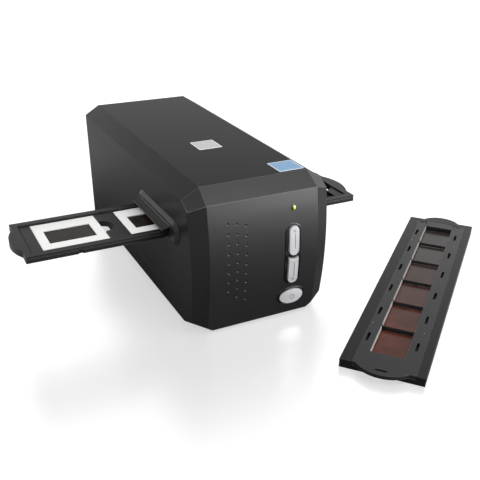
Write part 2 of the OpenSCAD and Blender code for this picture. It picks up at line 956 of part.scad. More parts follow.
module main_board() {
    color([0.05, 0.3, 0.14]) {
        block([-main_half, main_y, main_z[0]], [main_half, main_y + board_t, main_z[1]]);
        for (x = [5 - main_half, main_half - 5])
            for (z = [main_z[0] + 5, main_z[1] - 5])
                bar_y(2.5, main_y + board_t, y_panel, x, z);
    }
}

// block on the inner face of the main board, by its middle
module chip(x, z, w, h, t) {
    block([x - w / 2, main_y - t, z - h / 2], [x + w / 2, main_y, z + h / 2]);
}

module board_parts() {
    foot = main_z[0];
    top = main_z[1];
    color([0.1, 0.1, 0.11]) {
        // two chips and two capacitors near the top, two connectors near the foot
        chip(-3, top - 29, 18, 18, 2);
        chip(20, top - 28, 12, 8, 1.6);
        for (x = [-34, -24])
            bar_y(4, main_y - 4.5, main_y, x, top - 14);
        chip(-30, foot + 31, 12, 6, 3);
        chip(22, foot + 30.5, 24, 5, 5);
    }
}

module usb_port() {
    color([0.75, 0.75, 0.77])
        difference() {
            port_block(usb_x, usb_w, port_h, main_y + board_t, half_d + 0.6);
            difference() {
                port_block(usb_x, usb_w - 3.2, port_h - 3, main_y + 3, half_d + 1);
                port_block(usb_x, usb_w - 7.2, port_h - 8, main_y + 2, half_d - 1);
            }
        }
}

module power_jack() {
    color([0.05, 0.05, 0.05])
        port_block(jack_x, jack_w, port_h, main_y + board_t, y_panel);
    color([0.05, 0.05, 0.05])
        difference() {
            port_block(jack_x, jack_w, port_h, y_panel, half_d + 0.6);
            difference() {
                bar_y(3, y_panel + 0.1, half_d + 2, jack_x, port_z);
                bar_y(1, y_panel, half_d, jack_x, port_z);
            }
        }
}

// ---------------------------------------------------------------- inner frame and drive

module chassis_plate() {
    color([0.62, 0.63, 0.65])
        difference() {
            block([-plate_half, plate_y0, plate_z], [plate_half, plate_y1, plate_top]);
            for (x = [-plate_screw_x, plate_screw_x])
                for (y = plate_screw_y)
                    bar_z(plate_screw_r, plate_z - 1, plate_top + 1, x, y);
            // window under the mirror
            block([optic_x - mirror_half - 1, slot_y, plate_z - 1],
                  [optic_x + mirror_half + 1, slot_y + 20, plate_top + 1]);
        }
}

module chassis_screws() {
    color([0.75, 0.75, 0.77])
        for (x = [-plate_screw_x, plate_screw_x])
            for (y = plate_screw_y)
                difference() {
                    union() {
                        bar_z(plate_screw_r, z_floor + 0.5, plate_top, x, y);
                        bar_z(screw_head_r, plate_top, plate_top + 1.8, x, y);
                    }
                    cross_slot(0.35, plate_top + 0.9, plate_top + 3, x, y);
                }
}

module rod_clamps() {
    color([0.16, 0.16, 0.17])
        for (x = [-rod_x, rod_x])
            for (y = [rod_y0, rod_y1 - clamp_l])
                difference() {
                    block([x - 5, y, plate_top], [x + 5, y + clamp_l, rod_z + 5.5]);
                    bar_y(rod_dia / 2, y - 1, y + clamp_l + 1, x, rod_z);
                }
}

module guide_rods() {
    color([0.8, 0.81, 0.83])
        for (x = [-rod_x, rod_x])
            bar_y(rod_dia / 2, rod_y0, rod_y1, x, rod_z);
}

module motor_bracket() {
    half = motor_dia / 2 + 3.5;
    foot_w = 2.8;
    foot_l = 12;
    color([0.62, 0.63, 0.65])
        difference() {
            union() {
                block([optic_x - half, bracket_y, plate_top],
                      [optic_x + half, motor_y, screw_z + motor_dia / 2 + 1.5]);
                block([optic_x - half, bracket_y, plate_top],
                      [optic_x - half + foot_w, motor_y + foot_l, plate_top + 2]);
                block([optic_x + half - foot_w, bracket_y, plate_top],
                      [optic_x + half, motor_y + foot_l, plate_top + 2]);
            }
            bar_y(4, bracket_y - 1, motor_y + 1, optic_x, screw_z);
        }
}

module stepper_motor() {
    color([0.7, 0.7, 0.72])
        difference() {
            union() {
                bar_y(motor_dia / 2, motor_y, motor_y + motor_len, optic_x, screw_z);
                block([optic_x - 8, motor_y + 2, screw_z + motor_dia / 2 - 2],
                      [optic_x + 8, motor_y + motor_len - 2, screw_z + motor_dia / 2 + 2]);
            }
            bar_y(journal_r + fit, motor_y - 1, motor_y + 10, optic_x, screw_z);
        }
}

module screw_bearing() {
    color([0.16, 0.16, 0.17])
        difference() {
            block([optic_x - 7, bearing_y, plate_top],
                  [optic_x + 7, bearing_y + bearing_l, tray_z - 0.6]);
            bar_y(journal_r + fit, bearing_y - 1, bearing_y + bearing_l + 1, optic_x, screw_z);
        }
}

module lead_screw() {
    color([0.8, 0.81, 0.83]) {
        bar_y(screw_dia / 2, bearing_y + bearing_l + gap, motor_y - 4, optic_x, screw_z);
        bar_y(journal_r, bearing_y - 2, bearing_y + bearing_l + gap, optic_x, screw_z);
        bar_y(journal_r, motor_y - 4, motor_y + 8, optic_x, screw_z);
    }
}

module home_sensor() {
    color([0.08, 0.08, 0.09])
        difference() {
            block([home_x - 5, tray_y1 - 4, plate_top], [home_x + 5, tray_y1 + 6, tray_z - 4]);
            block([home_x - 1.4, tray_y1 - 5, tray_z - 14], [home_x + 1.4, tray_y1 + 7, tray_z - 3]);
        }
}

// guide rails the slide holder runs in, with their legs
module holder_guide() {
    top = holder_top + gap;
    lip = 2.3;
    color([0.2, 0.2, 0.21])
        difference() {
            union() {
                block([-hood_in + 1, guide_y0 - guide_w, guide_z0],
                      [hood_in - 1, guide_y0 + lip, top + 2.4]);
                block([-hood_in + 1, guide_y1 - lip, guide_z0],
                      [hood_in - 1, guide_y1 + guide_w, top + 2.4]);
                for (s = [-1, 1]) {
                    x0 = s > 0 ? plate_half - leg_w : -plate_half;
                    block([x0, guide_y0 - guide_w, guide_z0],
                          [x0 + leg_w, guide_y1 + guide_w, holder_z - gap]);
                    block([x0, guide_y0 - guide_w, plate_top],
                          [x0 + leg_w, guide_y0 - leg_back, guide_z0 + 0.5]);
                    block([x0, guide_y1 + leg_back, plate_top],
                          [x0 + leg_w, guide_y1 + guide_w, guide_z0 + 0.5]);
                }
            }
            block([-half_w, guide_y0, holder_z - gap], [half_w, guide_y1, top]);
            // window for the nose of the detent spring
            block([optic_x - nose_w / 2 - gap, guide_y0 - guide_w - 1, holder_z + 0.5],
                  [optic_x + nose_w / 2 + gap, guide_y0 + 1, holder_z + 4.5]);
        }
}

// leaf spring whose nose clicks into the notches of the slide holder
module detent_spring() {
    y0 = guide_y0 - guide_w;
    color([0.8, 0.8, 0.78]) {
        block([optic_x - 9, y0 - 0.5, holder_z], [optic_x + 9, y0, holder_z + 5]);
        block([optic_x - nose_w / 2, y0 - 0.2, holder_z + 1],
              [optic_x + nose_w / 2, guide_y0, holder_z + 4]);
    }
}

// ---------------------------------------------------------------- carriage

module scan_carriage() {
    // the back of the 45 degree mirror lies where y + z equals this
    back = scan_y + optic_z - mirror_t * sqrt(2);
    side_t = 2;
    side_h = optic_z + 6;
    flag_h = 11;
    color([0.13, 0.13, 0.14]) {
        difference() {
            union() {
                block([-tray_half, tray_y0, tray_z], [tray_half, tray_y1, tray_top]);
                for (x = [-tray_half, tray_half - side_t])
                    block([x, tray_y0, tray_top], [x + side_t, tray_y1, side_h]);
                block([-tray_half, sensor_y, tray_top], [tray_half, sensor_y + 2.4, optic_z + 16]);
                for (s = [-1, 1])
                    for (y = ear_y) {
                        x0 = s > 0 ? tray_half - 1 : -rod_x - 7;
                        block([x0, y, tray_z], [x0 + rod_x + 8 - tray_half, y + ear_l, rod_z + 6.5]);
                    }
                // wedge behind the mirror
                run_x(optic_x - mirror_half, optic_x + mirror_half)
                    polygon([
                        [back - tray_top, tray_top],
                        [back - side_h, side_h],
                        [back - side_h - 4, side_h],
                        [back - side_h - 4, tray_top]
                    ]);
                // flag that passes through the home sensor
                block([home_x - 0.5, tray_y1 - 3, tray_z - flag_h], [home_x + 0.5, tray_y1, tray_z]);
            }
            for (x = [-rod_x, rod_x])
                for (y = ear_y)
                    bar_y(bushing_r, y - 1, y + ear_l + 1, x, rod_z);
        }
    }
}

module carriage_bushings() {
    color([0.78, 0.6, 0.25])
        for (x = [-rod_x, rod_x])
            for (y = ear_y)
                difference() {
                    bar_y(bushing_r, y, y + ear_l, x, rod_z);
                    bar_y(rod_dia / 2 + fit, y - 1, y + ear_l + 1, x, rod_z);
                }
}

module drive_nut() {
    color([0.85, 0.83, 0.78])
        difference() {
            block([optic_x - 8, nut_y, screw_z - 6.5], [optic_x + 8, nut_y + nut_l, tray_z]);
            bar_y(screw_dia / 2 + fit, nut_y - 1, nut_y + nut_l + 1, optic_x, screw_z);
        }
}

module fold_mirror() {
    color([0.85, 0.87, 0.9])
        translate([optic_x, scan_y, optic_z])
            rotate([-45, 0, 0])
                block([-mirror_half, -9, -mirror_t], [mirror_half, 9, 0]);
}

module lens_clamp() {
    r = lens_dia / 2;
    clamp = 12;
    color([0.3, 0.3, 0.32])
        difference() {
            union() {
                block([optic_x - r - 3, lens_y, tray_top], [optic_x + r + 3, lens_y + clamp, optic_z]);
                bar_y(r + 2, lens_y, lens_y + clamp, optic_x, optic_z);
            }
            bar_y(r, lens_y - 1, lens_y + clamp + 1, optic_x, optic_z);
        }
}

module lens_barrel() {
    r = lens_dia / 2;
    y0 = lens_y - 10;
    y1 = lens_y + 22;
    color([0.06, 0.06, 0.07])
        difference() {
            union() {
                bar_y(r, y0 + 2, y1, optic_x, optic_z);
                bar_y(r + 1, y0, y0 + 4, optic_x, optic_z);
            }
            bar_y(r - 3, y0 - 1, y0 + 5, optic_x, optic_z);
            bar_y(r - 4, y0 + 4, y1 - 4, optic_x, optic_z);
            bar_y(r - 3, y1 - 5, y1 + 1, optic_x, optic_z);
        }
}

module lens_glass() {
    r = lens_dia / 2 - 3;
    color([0.7, 0.8, 0.95, 0.5]) {
        bar_y(r, lens_y - 8, lens_y - 5, optic_x, optic_z);
        bar_y(r, lens_y + 17, lens_y + 20, optic_x, optic_z);
    }
}

module sensor_board() {
    color([0.05, 0.3, 0.14])
        block([5 - tray_half, sensor_y - board_t, tray_top], [tray_half - 2, sensor_y, optic_z + 14]);
}

module image_sensor() {
    y1 = sensor_y - board_t;
    color([0.15, 0.15, 0.17])
        difference() {
            block([optic_x - 20, y1 - 3.5, optic_z - 4.5], [optic_x + 20, y1, optic_z + 4.5]);
            block([optic_x - 17, y1 - 4, optic_z - 1.5], [optic_x + 17, y1 - 2.8, optic_z + 1.5]);
        }
}

// posts beside the optics, and the hood that holds the lamp over the slide
module lamp_arm() {
    half = tray_half - 2;
    post_w = 3;
    hood_y0 = scan_y - 9.75;
    hood_y1 = scan_y + 9.75;
    top = lamp_z + lamp_h;
    color([0.16, 0.16, 0.17]) {
        block([-half, arm_y, tray_top], [post_w - half, arm_y + arm_l, top + 2]);
        block([half - post_w, arm_y, tray_top], [half, arm_y + arm_l, top + 2]);
        block([-half, hood_y0, top], [half, arm_y + arm_l, top + 2]);
        block([-half, hood_y0, lamp_z], [half, hood_y0 + 2, top]);
        block([-half, hood_y1 - 2, lamp_z], [half, hood_y1, top]);
    }
}

module lamp_board() {
    z = lamp_z + lamp_h - board_t;
    pitch = (lamp_half - 3) / 4;
    color([0.92, 0.92, 0.9]) {
        block([optic_x - lamp_half, scan_y - 6, z], [optic_x + lamp_half, scan_y + 6, z + board_t]);
        for (i = [-4:4])
            block([optic_x + pitch * i - 1.4, scan_y - 1.4, z - 0.8],
                  [optic_x + pitch * i + 1.4, scan_y + 1.4, z]);
    }
}

module lamp_diffuser() {
    color([0.95, 0.95, 0.92])
        block([2 - tray_half, scan_y - 7.75, lamp_z], [tray_half - 2, scan_y + 7.75, lamp_z + 1.5]);
}

// ---------------------------------------------------------------- slide holder

// puts a slide holder shape made around x = 0, y = 0 into its slot
module in_slot() {
    translate([holder_x, slot_y, 0])
        children();
}

module slide_holder() {
    grip_r = (grip_w * grip_w / 4 + grip_out * grip_out) / (2 * grip_out);
    half_l = holder_len / 2;
    hw = holder_w / 2;
    color([0.1, 0.1, 0.1])
        in_slot()
            difference() {
                union() {
                    block([-half_l, -hw, holder_z], [half_l, hw, holder_top]);
                    for (s = [-1, 1])
                        intersection() {
                            bar_z(grip_r, holder_z, holder_top, s * (half_l + grip_out - grip_r), 0);
                            block([s > 0 ? half_l - 1 : -half_l - 2 * grip_out, -hw, holder_z],
                                  [s > 0 ? half_l + 2 * grip_out : 1 - half_l, hw, holder_top]);
                        }
                }
                // bars lie a little lower than the rails
                block([end_rim - half_l, -bay / 2, holder_top - 1],
                      [half_l - end_rim, bay / 2, holder_top + 1]);
                for (x = bay_x) {
                    block([x - bay / 2, -bay / 2, ledge_z], [x + bay / 2, bay / 2, holder_top]);
                    block([x - bay / 2 + ledge, ledge - bay / 2, holder_z - 1],
                          [x + bay / 2 - ledge, bay / 2 - ledge, holder_top]);
                    // detent notch in the near edge
                    translate([x, -hw, 0])
                        linear_extrude(height = holder_z + 3)
                            polygon([[-2.3, -1], [2.3, -1], [1.3, notch_depth], [-1.3, notch_depth]]);
                }
                // finger notches
                for (x = bay_x)
                    bar_z(finger_r, holder_z - 1, holder_top + 1, x + bay / 2 - 0.9, 0);
                // groove along both long edges
                for (s = [-1, 1])
                    block([-half_l - 1, s * hw - 0.5, holder_top - 2.4],
                          [half_l + 1, s * hw + 0.5, holder_top - 1.6]);
                // dark line beside each end bar
                for (s = [-1, 1])
                    block([s * (half_l - end_rim - 0.4) - 0.4, -bay / 2, holder_top - 1.8],
                          [s * (half_l - end_rim - 0.4) + 0.4, bay / 2, holder_top]);
            }
}

module slide_mounts() {
    color([0.93, 0.93, 0.92])
        in_slot()
            for (x = [bay_x[0], bay_x[1]])
                difference() {
                    block([x - slide_size / 2, -slide_size / 2, ledge_z],
                          [x + slide_size / 2, slide_size / 2, ledge_z + slide_t]);
                    block([x - frame_l / 2, -frame_w / 2, ledge_z - 1],
                          [x + frame_l / 2, frame_w / 2, ledge_z + slide_t + 1]);
                }
}

module slide_films() {
    z = ledge_z + slide_t / 2;
    color([0.25, 0.2, 0.18])
        in_slot()
            for (x = [bay_x[0], bay_x[1]])
                block([x - frame_l / 2, -frame_w / 2, z - film_t / 2],
                      [x + frame_l / 2, frame_w / 2, z + film_t / 2]);
}

// ---------------------------------------------------------------- strip holder

// puts a strip holder shape made around x = 0, y = 0 onto the desk
module on_desk() {
    translate([strip_x, strip_y, 0])
        rotate([0, 0, strip_turn])
            children();
}

// film windows through the strip holder
module strip_windows(z0, z1, grow) {
    half_l = window_l / 2 + grow;
    half = window_w / 2 + grow;
    for (i = [0:strip_frames - 1])
        translate([(i - (strip_frames - 1) / 2) * frame_pitch, 0, 0])
            block([-half_l, -half, z0], [half_l, half, z1]);
}

module strip_base() {
    hw = strip_w / 2;
    wall_x0 = strip_half - 4;
    tab_r = 20;
    color([0.08, 0.08, 0.09])
        on_desk() {
            difference() {
                union() {
                    block([-strip_half, -hw, 0], [strip_half, hw, strip_base_t]);
                    block([-strip_half, -hw, 0], [strip_half, strip_rail_w - hw, strip_rail_h]);
                    block([-strip_half, hw - wide_rail_w, 0], [strip_half, hw, strip_rail_h]);
                    // far end wall and grip tab
                    block([wall_x0, -hw, 0], [strip_half, hw, strip_rail_h]);
                    intersection() {
                        bar_z(tab_r, 0, strip_rail_h, strip_half + tab_out - tab_r, 0);
                        block([strip_half - 1, -hw, 0], [strip_half + tab_r, hw, strip_rail_h]);
                    }
                }
                strip_windows(-1, strip_base_t + 1, 0);
                block([-film_len / 2 - 0.1, -film_w / 2, film_z],
                      [film_len / 2 + 0.1, film_w / 2, strip_base_t + 1]);
                // trough that the lid's end turns in
                block([strip_pin_x - 3.2, lid_y0 - 0.2, strip_base_t - 0.8],
                      [wall_x0, lid_y1 + 0.2, strip_rail_h - 0.5]);
                // groove along both long edges
                for (s = [-1, 1])
                    block([-strip_half - 1, s * hw - 0.5, 3.2], [strip_half + 1, s * hw + 0.5, 4]);
            }
            // lugs that hold the lid's pins
            for (s = [-1, 1])
                difference() {
                    block([strip_pin_x - 2.6, s > 0 ? lug_y : -lug_y - lug_l, 1],
                          [wall_x0 + 1, s > 0 ? lug_y + lug_l : -lug_y, strip_rail_h + 0.6]);
                    bar_y(strip_pin_r, s > 0 ? lug_y - 1 : -lug_y - lug_l - 1,
                          s > 0 ? lug_y + lug_l + 1 : 1 - lug_y, strip_pin_x, strip_pin_z);
                }
        }
}

module film_strip() {
    color([0.45, 0.14, 0.06])
        on_desk()
            block([-film_len / 2, -film_w / 2 + 0.1, film_z],
                  [film_len / 2, film_w / 2 - 0.1, film_z + film_t]);
}

module strip_lid_pins() {
    pin_l = knuckle_l + gap + lug_l - 0.3;
    color([0.75, 0.75, 0.77])
        on_desk()
            for (y = [-knuckle_y - pin_l, knuckle_y])
                bar_y(strip_pin_r, y, y + pin_l, strip_pin_x, strip_pin_z);
}

module strip_lid() {
    x1 = strip_pin_x + 1.4;
    lip_r = 26;
    slot_r = 1.2;
    slot_l = 10;
    row_l = (strip_frames - 1) * frame_pitch / 2 + window_l / 2;
    color([0.1, 0.1, 0.11])
        on_desk()
            difference() {
                union() {
                    block([-strip_half, lid_y0, lid_z], [x1, lid_y1, lid_top]);
                    // knuckles on the hinge pins
                    for (s = [-1, 1])
                        bar_y(knuckle_r, s > 0 ? knuckle_y : -lug_y, s > 0 ? lug_y : -knuckle_y,
                              strip_pin_x, strip_pin_z);
                    // curved grip lip at the near end
                    intersection() {
                        bar_z(lip_r, lid_z, lid_top, lip_r - lip_out - strip_half, 0);
                        block([-strip_half - lip_r, lid_y0, lid_z], [4 - strip_half, lid_y1, lid_top]);
                    }
                }
                strip_windows(lid_z - 1, lid_top + 1, 0);
                // the bars between the windows lie lower than the lid
                block([-row_l, -window_w / 2, lid_top - bar_drop], [row_l, window_w / 2, lid_top + 1]);
                // room for the lugs of the base
                for (s = [-1, 1])
                    block([strip_pin_x - 2.6 - 2 * gap, s > 0 ? lug_y - gap : -lug_y - lug_l - gap, 0],
                          [x1 + 1, s > 0 ? lug_y + lug_l + gap : gap - lug_y, lid_top + 1]);
                for (s = [-1, 1])
                    for (i = [0:strip_frames - 1])
                        translate([(i - (strip_frames - 1) / 2) * frame_pitch,
                                   s * (film_w / 2 + slot_r), 0]) {
                            block([-slot_l / 2, -slot_r, lid_z - 1], [slot_l / 2, slot_r, lid_top + 1]);
                            bar_z(slot_r, lid_z - 1, lid_top + 1, -slot_l / 2, 0);
                            bar_z(slot_r, lid_z - 1, lid_top + 1, slot_l / 2, 0);
                        }
                // latch slot in the lip
                block([-strip_half - 4.2, -4.5, lid_z - 1], [-strip_half - 2, 4.5, lid_top + 1]);
                for (s = [-1, 1])
                    bar_y(strip_pin_r + fit, s > 0 ? knuckle_y - gap : -knuckle_y - knuckle_l - 1,
                          s > 0 ? knuckle_y + knuckle_l + 1 : gap - knuckle_y,
                          strip_pin_x, strip_pin_z);
            }
}

// ---------------------------------------------------------------- output

top_housing();
front_bezel();
rear_panel();
bottom_cover();
rubber_feet();
case_screws();
white_label();
blue_label();
left_slot_hood();
right_slot_hood();
flap_pins();
key_surround();
power_ring();
status_light();
front_board();
front_switches();
main_board();
board_parts();
usb_port();
power_jack();
chassis_plate();
chassis_screws();
rod_clamps();
guide_rods();
motor_bracket();
stepper_motor();
screw_bearing();
home_sensor();
holder_guide();
detent_spring();
scan_carriage();
carriage_bushings();
drive_nut();
fold_mirror();
lens_clamp();
lens_barrel();
lens_glass();
sensor_board();
image_sensor();
lamp_arm();
lamp_board();
lamp_diffuser();
lead_screw();
left_dust_flap();
right_dust_flap();
upper_key();
lower_key();
power_key();
slide_holder();
slide_mounts();
slide_films();
strip_base();
film_strip();
strip_lid_pins();
strip_lid();
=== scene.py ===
"""Looks of a desktop film scanner with its slide holder and film strip holder.

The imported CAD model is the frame. This file gives every part its finish, adds the
fine pieces that a solid model leaves out, and sets the studio around it.
"""

import math

import bpy
import numpy as np
from bpy.props import FloatProperty, FloatVectorProperty, PointerProperty
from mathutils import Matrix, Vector


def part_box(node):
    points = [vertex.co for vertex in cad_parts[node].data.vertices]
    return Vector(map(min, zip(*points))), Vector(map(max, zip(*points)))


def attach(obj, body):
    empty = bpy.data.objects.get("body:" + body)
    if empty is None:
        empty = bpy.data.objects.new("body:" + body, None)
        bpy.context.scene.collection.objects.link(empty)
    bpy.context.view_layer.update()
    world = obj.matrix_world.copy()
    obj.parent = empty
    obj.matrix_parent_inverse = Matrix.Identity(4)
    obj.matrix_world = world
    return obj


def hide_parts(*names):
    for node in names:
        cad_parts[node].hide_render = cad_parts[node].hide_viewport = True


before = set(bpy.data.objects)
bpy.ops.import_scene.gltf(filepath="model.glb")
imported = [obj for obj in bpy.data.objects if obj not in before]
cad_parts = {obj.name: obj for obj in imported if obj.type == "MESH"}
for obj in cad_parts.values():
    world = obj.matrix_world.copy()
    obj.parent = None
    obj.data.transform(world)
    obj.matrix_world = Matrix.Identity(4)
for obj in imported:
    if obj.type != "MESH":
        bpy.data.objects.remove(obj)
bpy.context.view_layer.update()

bl_info = {
    "name": "Film scanner",
    "version": (1, 0, 0),
    "blender": (4, 5, 0),
    "location": "3D View > Sidebar > Scanner",
    "description": "Finishes, fine pieces and studio of a desktop film scanner",
    "category": "Object",
}

MM = 0.001
BOX = {name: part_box(name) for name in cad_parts}


# Bow of the front: its radius, and the place of its axis along Y and Z
BOW_R, BOW_Y, BOW_Z = 0.25908, 0.12358, 0.0546
# Scan keys: how far they stand in front of the bow, their end ring and their crease line
KEY_PROUD = 0.0023
MARK_IN, MARK_R, KEY_LINE = 0.0052, 0.00085, 0.0150
# Radius of the power key's dome
DOME_R = 0.045
# Film strip holder: its turn on the floor, and the directions along and across it
STRIP_TURN = math.radians(40.6)
ALONG = np.array([math.cos(STRIP_TURN), math.sin(STRIP_TURN), 0.0])
ACROSS = np.array([-math.sin(STRIP_TURN), math.cos(STRIP_TURN), 0.0])
# Strip lid: underside and top, windows and the places of the rivets
LID_LOW, LID_TOP, FRAMES, FRAME_PITCH = 0.0044, 0.0073, 6, 0.0416
WINDOW_L, WINDOW_W = 0.0380, 0.0260
RIVET_X, RIVET_Y = 0.0832, 0.0200
# Film strip: its length, its width, and how far its rows of holes are from its middle
FILM_L, FILM_W, HOLE_ROW = 0.2496, 0.0348, 0.0146
# Lead screw: where its thread starts and ends along Y, its radius and its journals'
THREAD_Y0, THREAD_Y1, SCREW_R, JOURNAL_R = 0.0223, 0.1000, 0.0030, 0.0020
# Camera: focal length and sensor width in mm, its place and its turn in radians
LENS, SENSOR = 53.91, 36.0
EYE_AT = (-0.242819, -0.565122, 0.308843)
EYE_TURN = (1.1258718, -0.0131131, -0.4680583)
# Soft lights: name, place, point they look at, size, watts
LIGHTS = (
    ("front_light", (0.80, -1.02, 0.18), (0.02, -0.13, 0.10), (0.9, 0.24), 22.0),
    ("top_light", (0.36, -0.54, 1.17), (0.0, -0.12, 0.11), (0.7, 0.5), 14.0),
    ("left_light", (-0.85, -0.45, 0.95), (-0.10, -0.06, 0.08), (0.8, 0.6), 8.0),
)
# Floor: half its width, and its height, just under the feet
FLOOR_HALF, FLOOR_Z = 6.0, -0.0002


def middle(node):
    """Middle of a node's box, in metres, as an array."""
    low, high = BOX[node]
    return (np.array(low) + np.array(high)) / 2


def span(node):
    """Size of a node's box, in metres, as an array."""
    low, high = BOX[node]
    return np.array(high) - np.array(low)


def on_strip(points):
    """Points given along, across and above the film strip holder, in the shared frame."""
    centre = middle("film_strip") * np.array([1, 1, 0])
    return centre + points @ np.array([ALONG, ACROSS, [0, 0, 1]])


# ------------------------------------------------------------------ properties


def length(name, description, mm, low=0.0, high=1.0):
    """A length property, given in millimetres."""
    return FloatProperty(
        name=name, description=description, default=mm * MM, min=low, max=high,
        unit="LENGTH", precision=5,
    )


def tint(name, description, rgb):
    """A colour property, in linear values."""
    return FloatVectorProperty(
        name=name, description=description, default=rgb, size=3, min=0.0, max=1.0,
        subtype="COLOR",
    )


class ScannerSizes(bpy.types.PropertyGroup):
    """Sizes of the fine pieces."""

    edge_soft: length("Edge softness", "Width that the case's moulded edges are rounded over", 0.6)
    mark_wire: length("Mark line", "Radius of the raised lines on the keys", 0.2)
    icon_r: length("Power mark", "Radius of the power mark", 2.0)
    # Painted highlight: thickness of the pale strip along one inner wall of each lid window
    highlight_strip_t: length("Window highlight strip", "Thickness of the pale highlight strip in the lid's windows", 0.7)
    thread_lead: length("Thread lead", "Travel of the lead screw in one turn", 4.0)
    thread_depth: length("Thread depth", "Depth of the lead screw's thread", 0.35)
    hole_pitch: length("Film hole pitch", "Distance between the holes along the film", 4.75)
    hole_l: length("Film hole length", "Length of a film hole along the film", 1.98)
    hole_w: length("Film hole width", "Width of a film hole across the film", 2.8)
    foot_round: length("Foot rounding", "Rounding of each rubber foot", 1.0)
    label_round: length("Label corner", "Corner radius of a label", 0.8)
    label_margin: length("Label margin", "Width of the pale margin of a label", 0.9)


class ScannerFinishes(bpy.types.PropertyGroup):
    """Colours of the finishes."""

    case: tint("Case", "Moulded case", (0.0088, 0.0088, 0.0092))
    bezel: tint("Bezel", "Front bezel", (0.0080, 0.0080, 0.0088))
    hood: tint("Hood", "Hoods around the slots", (0.0120, 0.0120, 0.0128))
    holder: tint("Holder", "Slide and film strip holders", (0.0070, 0.0070, 0.0074))
    lid: tint("Strip lid", "Lid of the film strip holder", (0.0110, 0.0110, 0.0115))
    gloss: tint("Surround", "Gloss rings around the keys", (0.0030, 0.0030, 0.0034))
    silver: tint("Keys", "Silver paint of the keys", (0.32, 0.32, 0.33))
    mount: tint("Mounts", "Slide mounts", (0.66, 0.66, 0.65))
    slide: tint("Slide film", "Film in the slide mounts", (0.010, 0.008, 0.007))
    film: tint("Film strip", "Colour negative film", (0.045, 0.0115, 0.0065))
    light: tint("Status light", "Status light when lit", (0.36, 0.55, 0.06))
    white_label: tint("White label", "White label on the top", (0.335, 0.33, 0.32))
    blue_label: tint("Blue label", "Blue label on the top", (0.095, 0.21, 0.36))
    board: tint("Boards", "Circuit boards", (0.012, 0.085, 0.035))
    metal: tint("Plated steel", "Chassis and screws", (0.55, 0.56, 0.57))
    rubber: tint("Rubber", "Feet", (0.012, 0.012, 0.012))


def sizes():
    return bpy.context.scene.scanner_sizes


def finishes():
    return bpy.context.scene.scanner_finishes


# ------------------------------------------------------------------ surfaces


def mesh_piece(name, verts, faces, smooth=True):
    """A mesh object at the origin from an (n, 3) array and a list of faces."""
    mesh = bpy.data.meshes.new(name)
    mesh.from_pydata(verts.tolist(), [], faces)
    mesh.validate()
    mesh.polygons.foreach_set("use_smooth", np.full(len(mesh.polygons), smooth))
    mesh.update()
    piece = bpy.data.objects.new(name, mesh)
    bpy.context.scene.collection.objects.link(piece)
    return piece


def grid_faces(nu, nv, wrap_u, wrap_v, first=0):
    """Quads between the neighbours of an nu by nv grid, row after row."""
    i = np.arange(nu if wrap_u else nu - 1)
    j = np.arange(nv if wrap_v else nv - 1)
    i, j = np.meshgrid(i, j, indexing="ij")
    i2, j2 = (i + 1) % nu, (j + 1) % nv
    quads = np.stack([i * nv + j, i2 * nv + j, i2 * nv + j2, i * nv + j2], -1)
    return (quads.reshape(-1, 4) + first).tolist()


def joined(name, parts, smooth=True):
    """One piece from several (grid, wrap_u, wrap_v, capped) surfaces.

    A grid holds points as [u, v, xyz]. Where it is capped, the first and the last
    ring along v are each closed by one face.
    """
    verts, faces, first = [], [], 0
    for grid, wrap_u, wrap_v, capped in parts:
        nu, nv = grid.shape[:2]
        verts.append(grid.reshape(-1, 3))
        faces += grid_faces(nu, nv, wrap_u, wrap_v, first)
        if capped:
            ring = np.arange(nu) * nv + first
            faces.append(ring[::-1].tolist())
            faces.append((ring + nv - 1).tolist())
        first += nu * nv
    piece = mesh_piece(name, np.concatenate(verts), faces, smooth)
    outward(piece)
    return piece


def outward(piece):
    """Turns every face of a closed shell outwards. Edit mode takes in every mesh that is
    selected at the time, so the CAD nodes' faces are turned too: a known fault."""
    bpy.context.view_layer.objects.active = piece
    with bpy.context.temp_override(
        object=piece, active_object=piece, selected_objects=[piece], selected_editable_objects=[piece]
    ):
        bpy.ops.object.mode_set(mode="EDIT")
        bpy.ops.mesh.select_all(action="SELECT")
        bpy.ops.mesh.normals_make_consistent(inside=False)
        bpy.ops.object.mode_set(mode="OBJECT")


def round_rect(w, h, r, per_corner=8):
    """Outline of a rectangle with round corners: each corner's centre plus r times
    the direction, which turns a quarter at each corner. Anticlockwise."""
    a = np.linspace(0, np.pi / 2, per_corner)
    turns = np.concatenate([a + k * np.pi / 2 for k in range(4)])
    cx = np.repeat([1, -1, -1, 1], per_corner) * (w / 2 - r)
    cy = np.repeat([1, 1, -1, -1], per_corner) * (h / 2 - r)
    return np.stack([cx + r * np.cos(turns), cy + r * np.sin(turns)], -1)


def plate_surface(w, h, r, t, edge, steps=4):
    """Plate with a rounded top edge: rings of the same rounded rectangle, which go
    up the side, then in by edge * (1 - cos a) and up by edge * sin a."""
    a = np.linspace(0, np.pi / 2, steps)
    inset = np.concatenate([[0, 0], edge * (1 - np.cos(a[1:]))])
    height = np.concatenate([[0, t - edge], t - edge + edge * np.sin(a[1:])])
    rings = [
        np.column_stack([round_rect(w - 2 * d, h - 2 * d, max(r - d, 1e-5)), np.full(32, z)])
        for d, z in zip(inset, height)
    ]
    return np.stack(rings, 1)


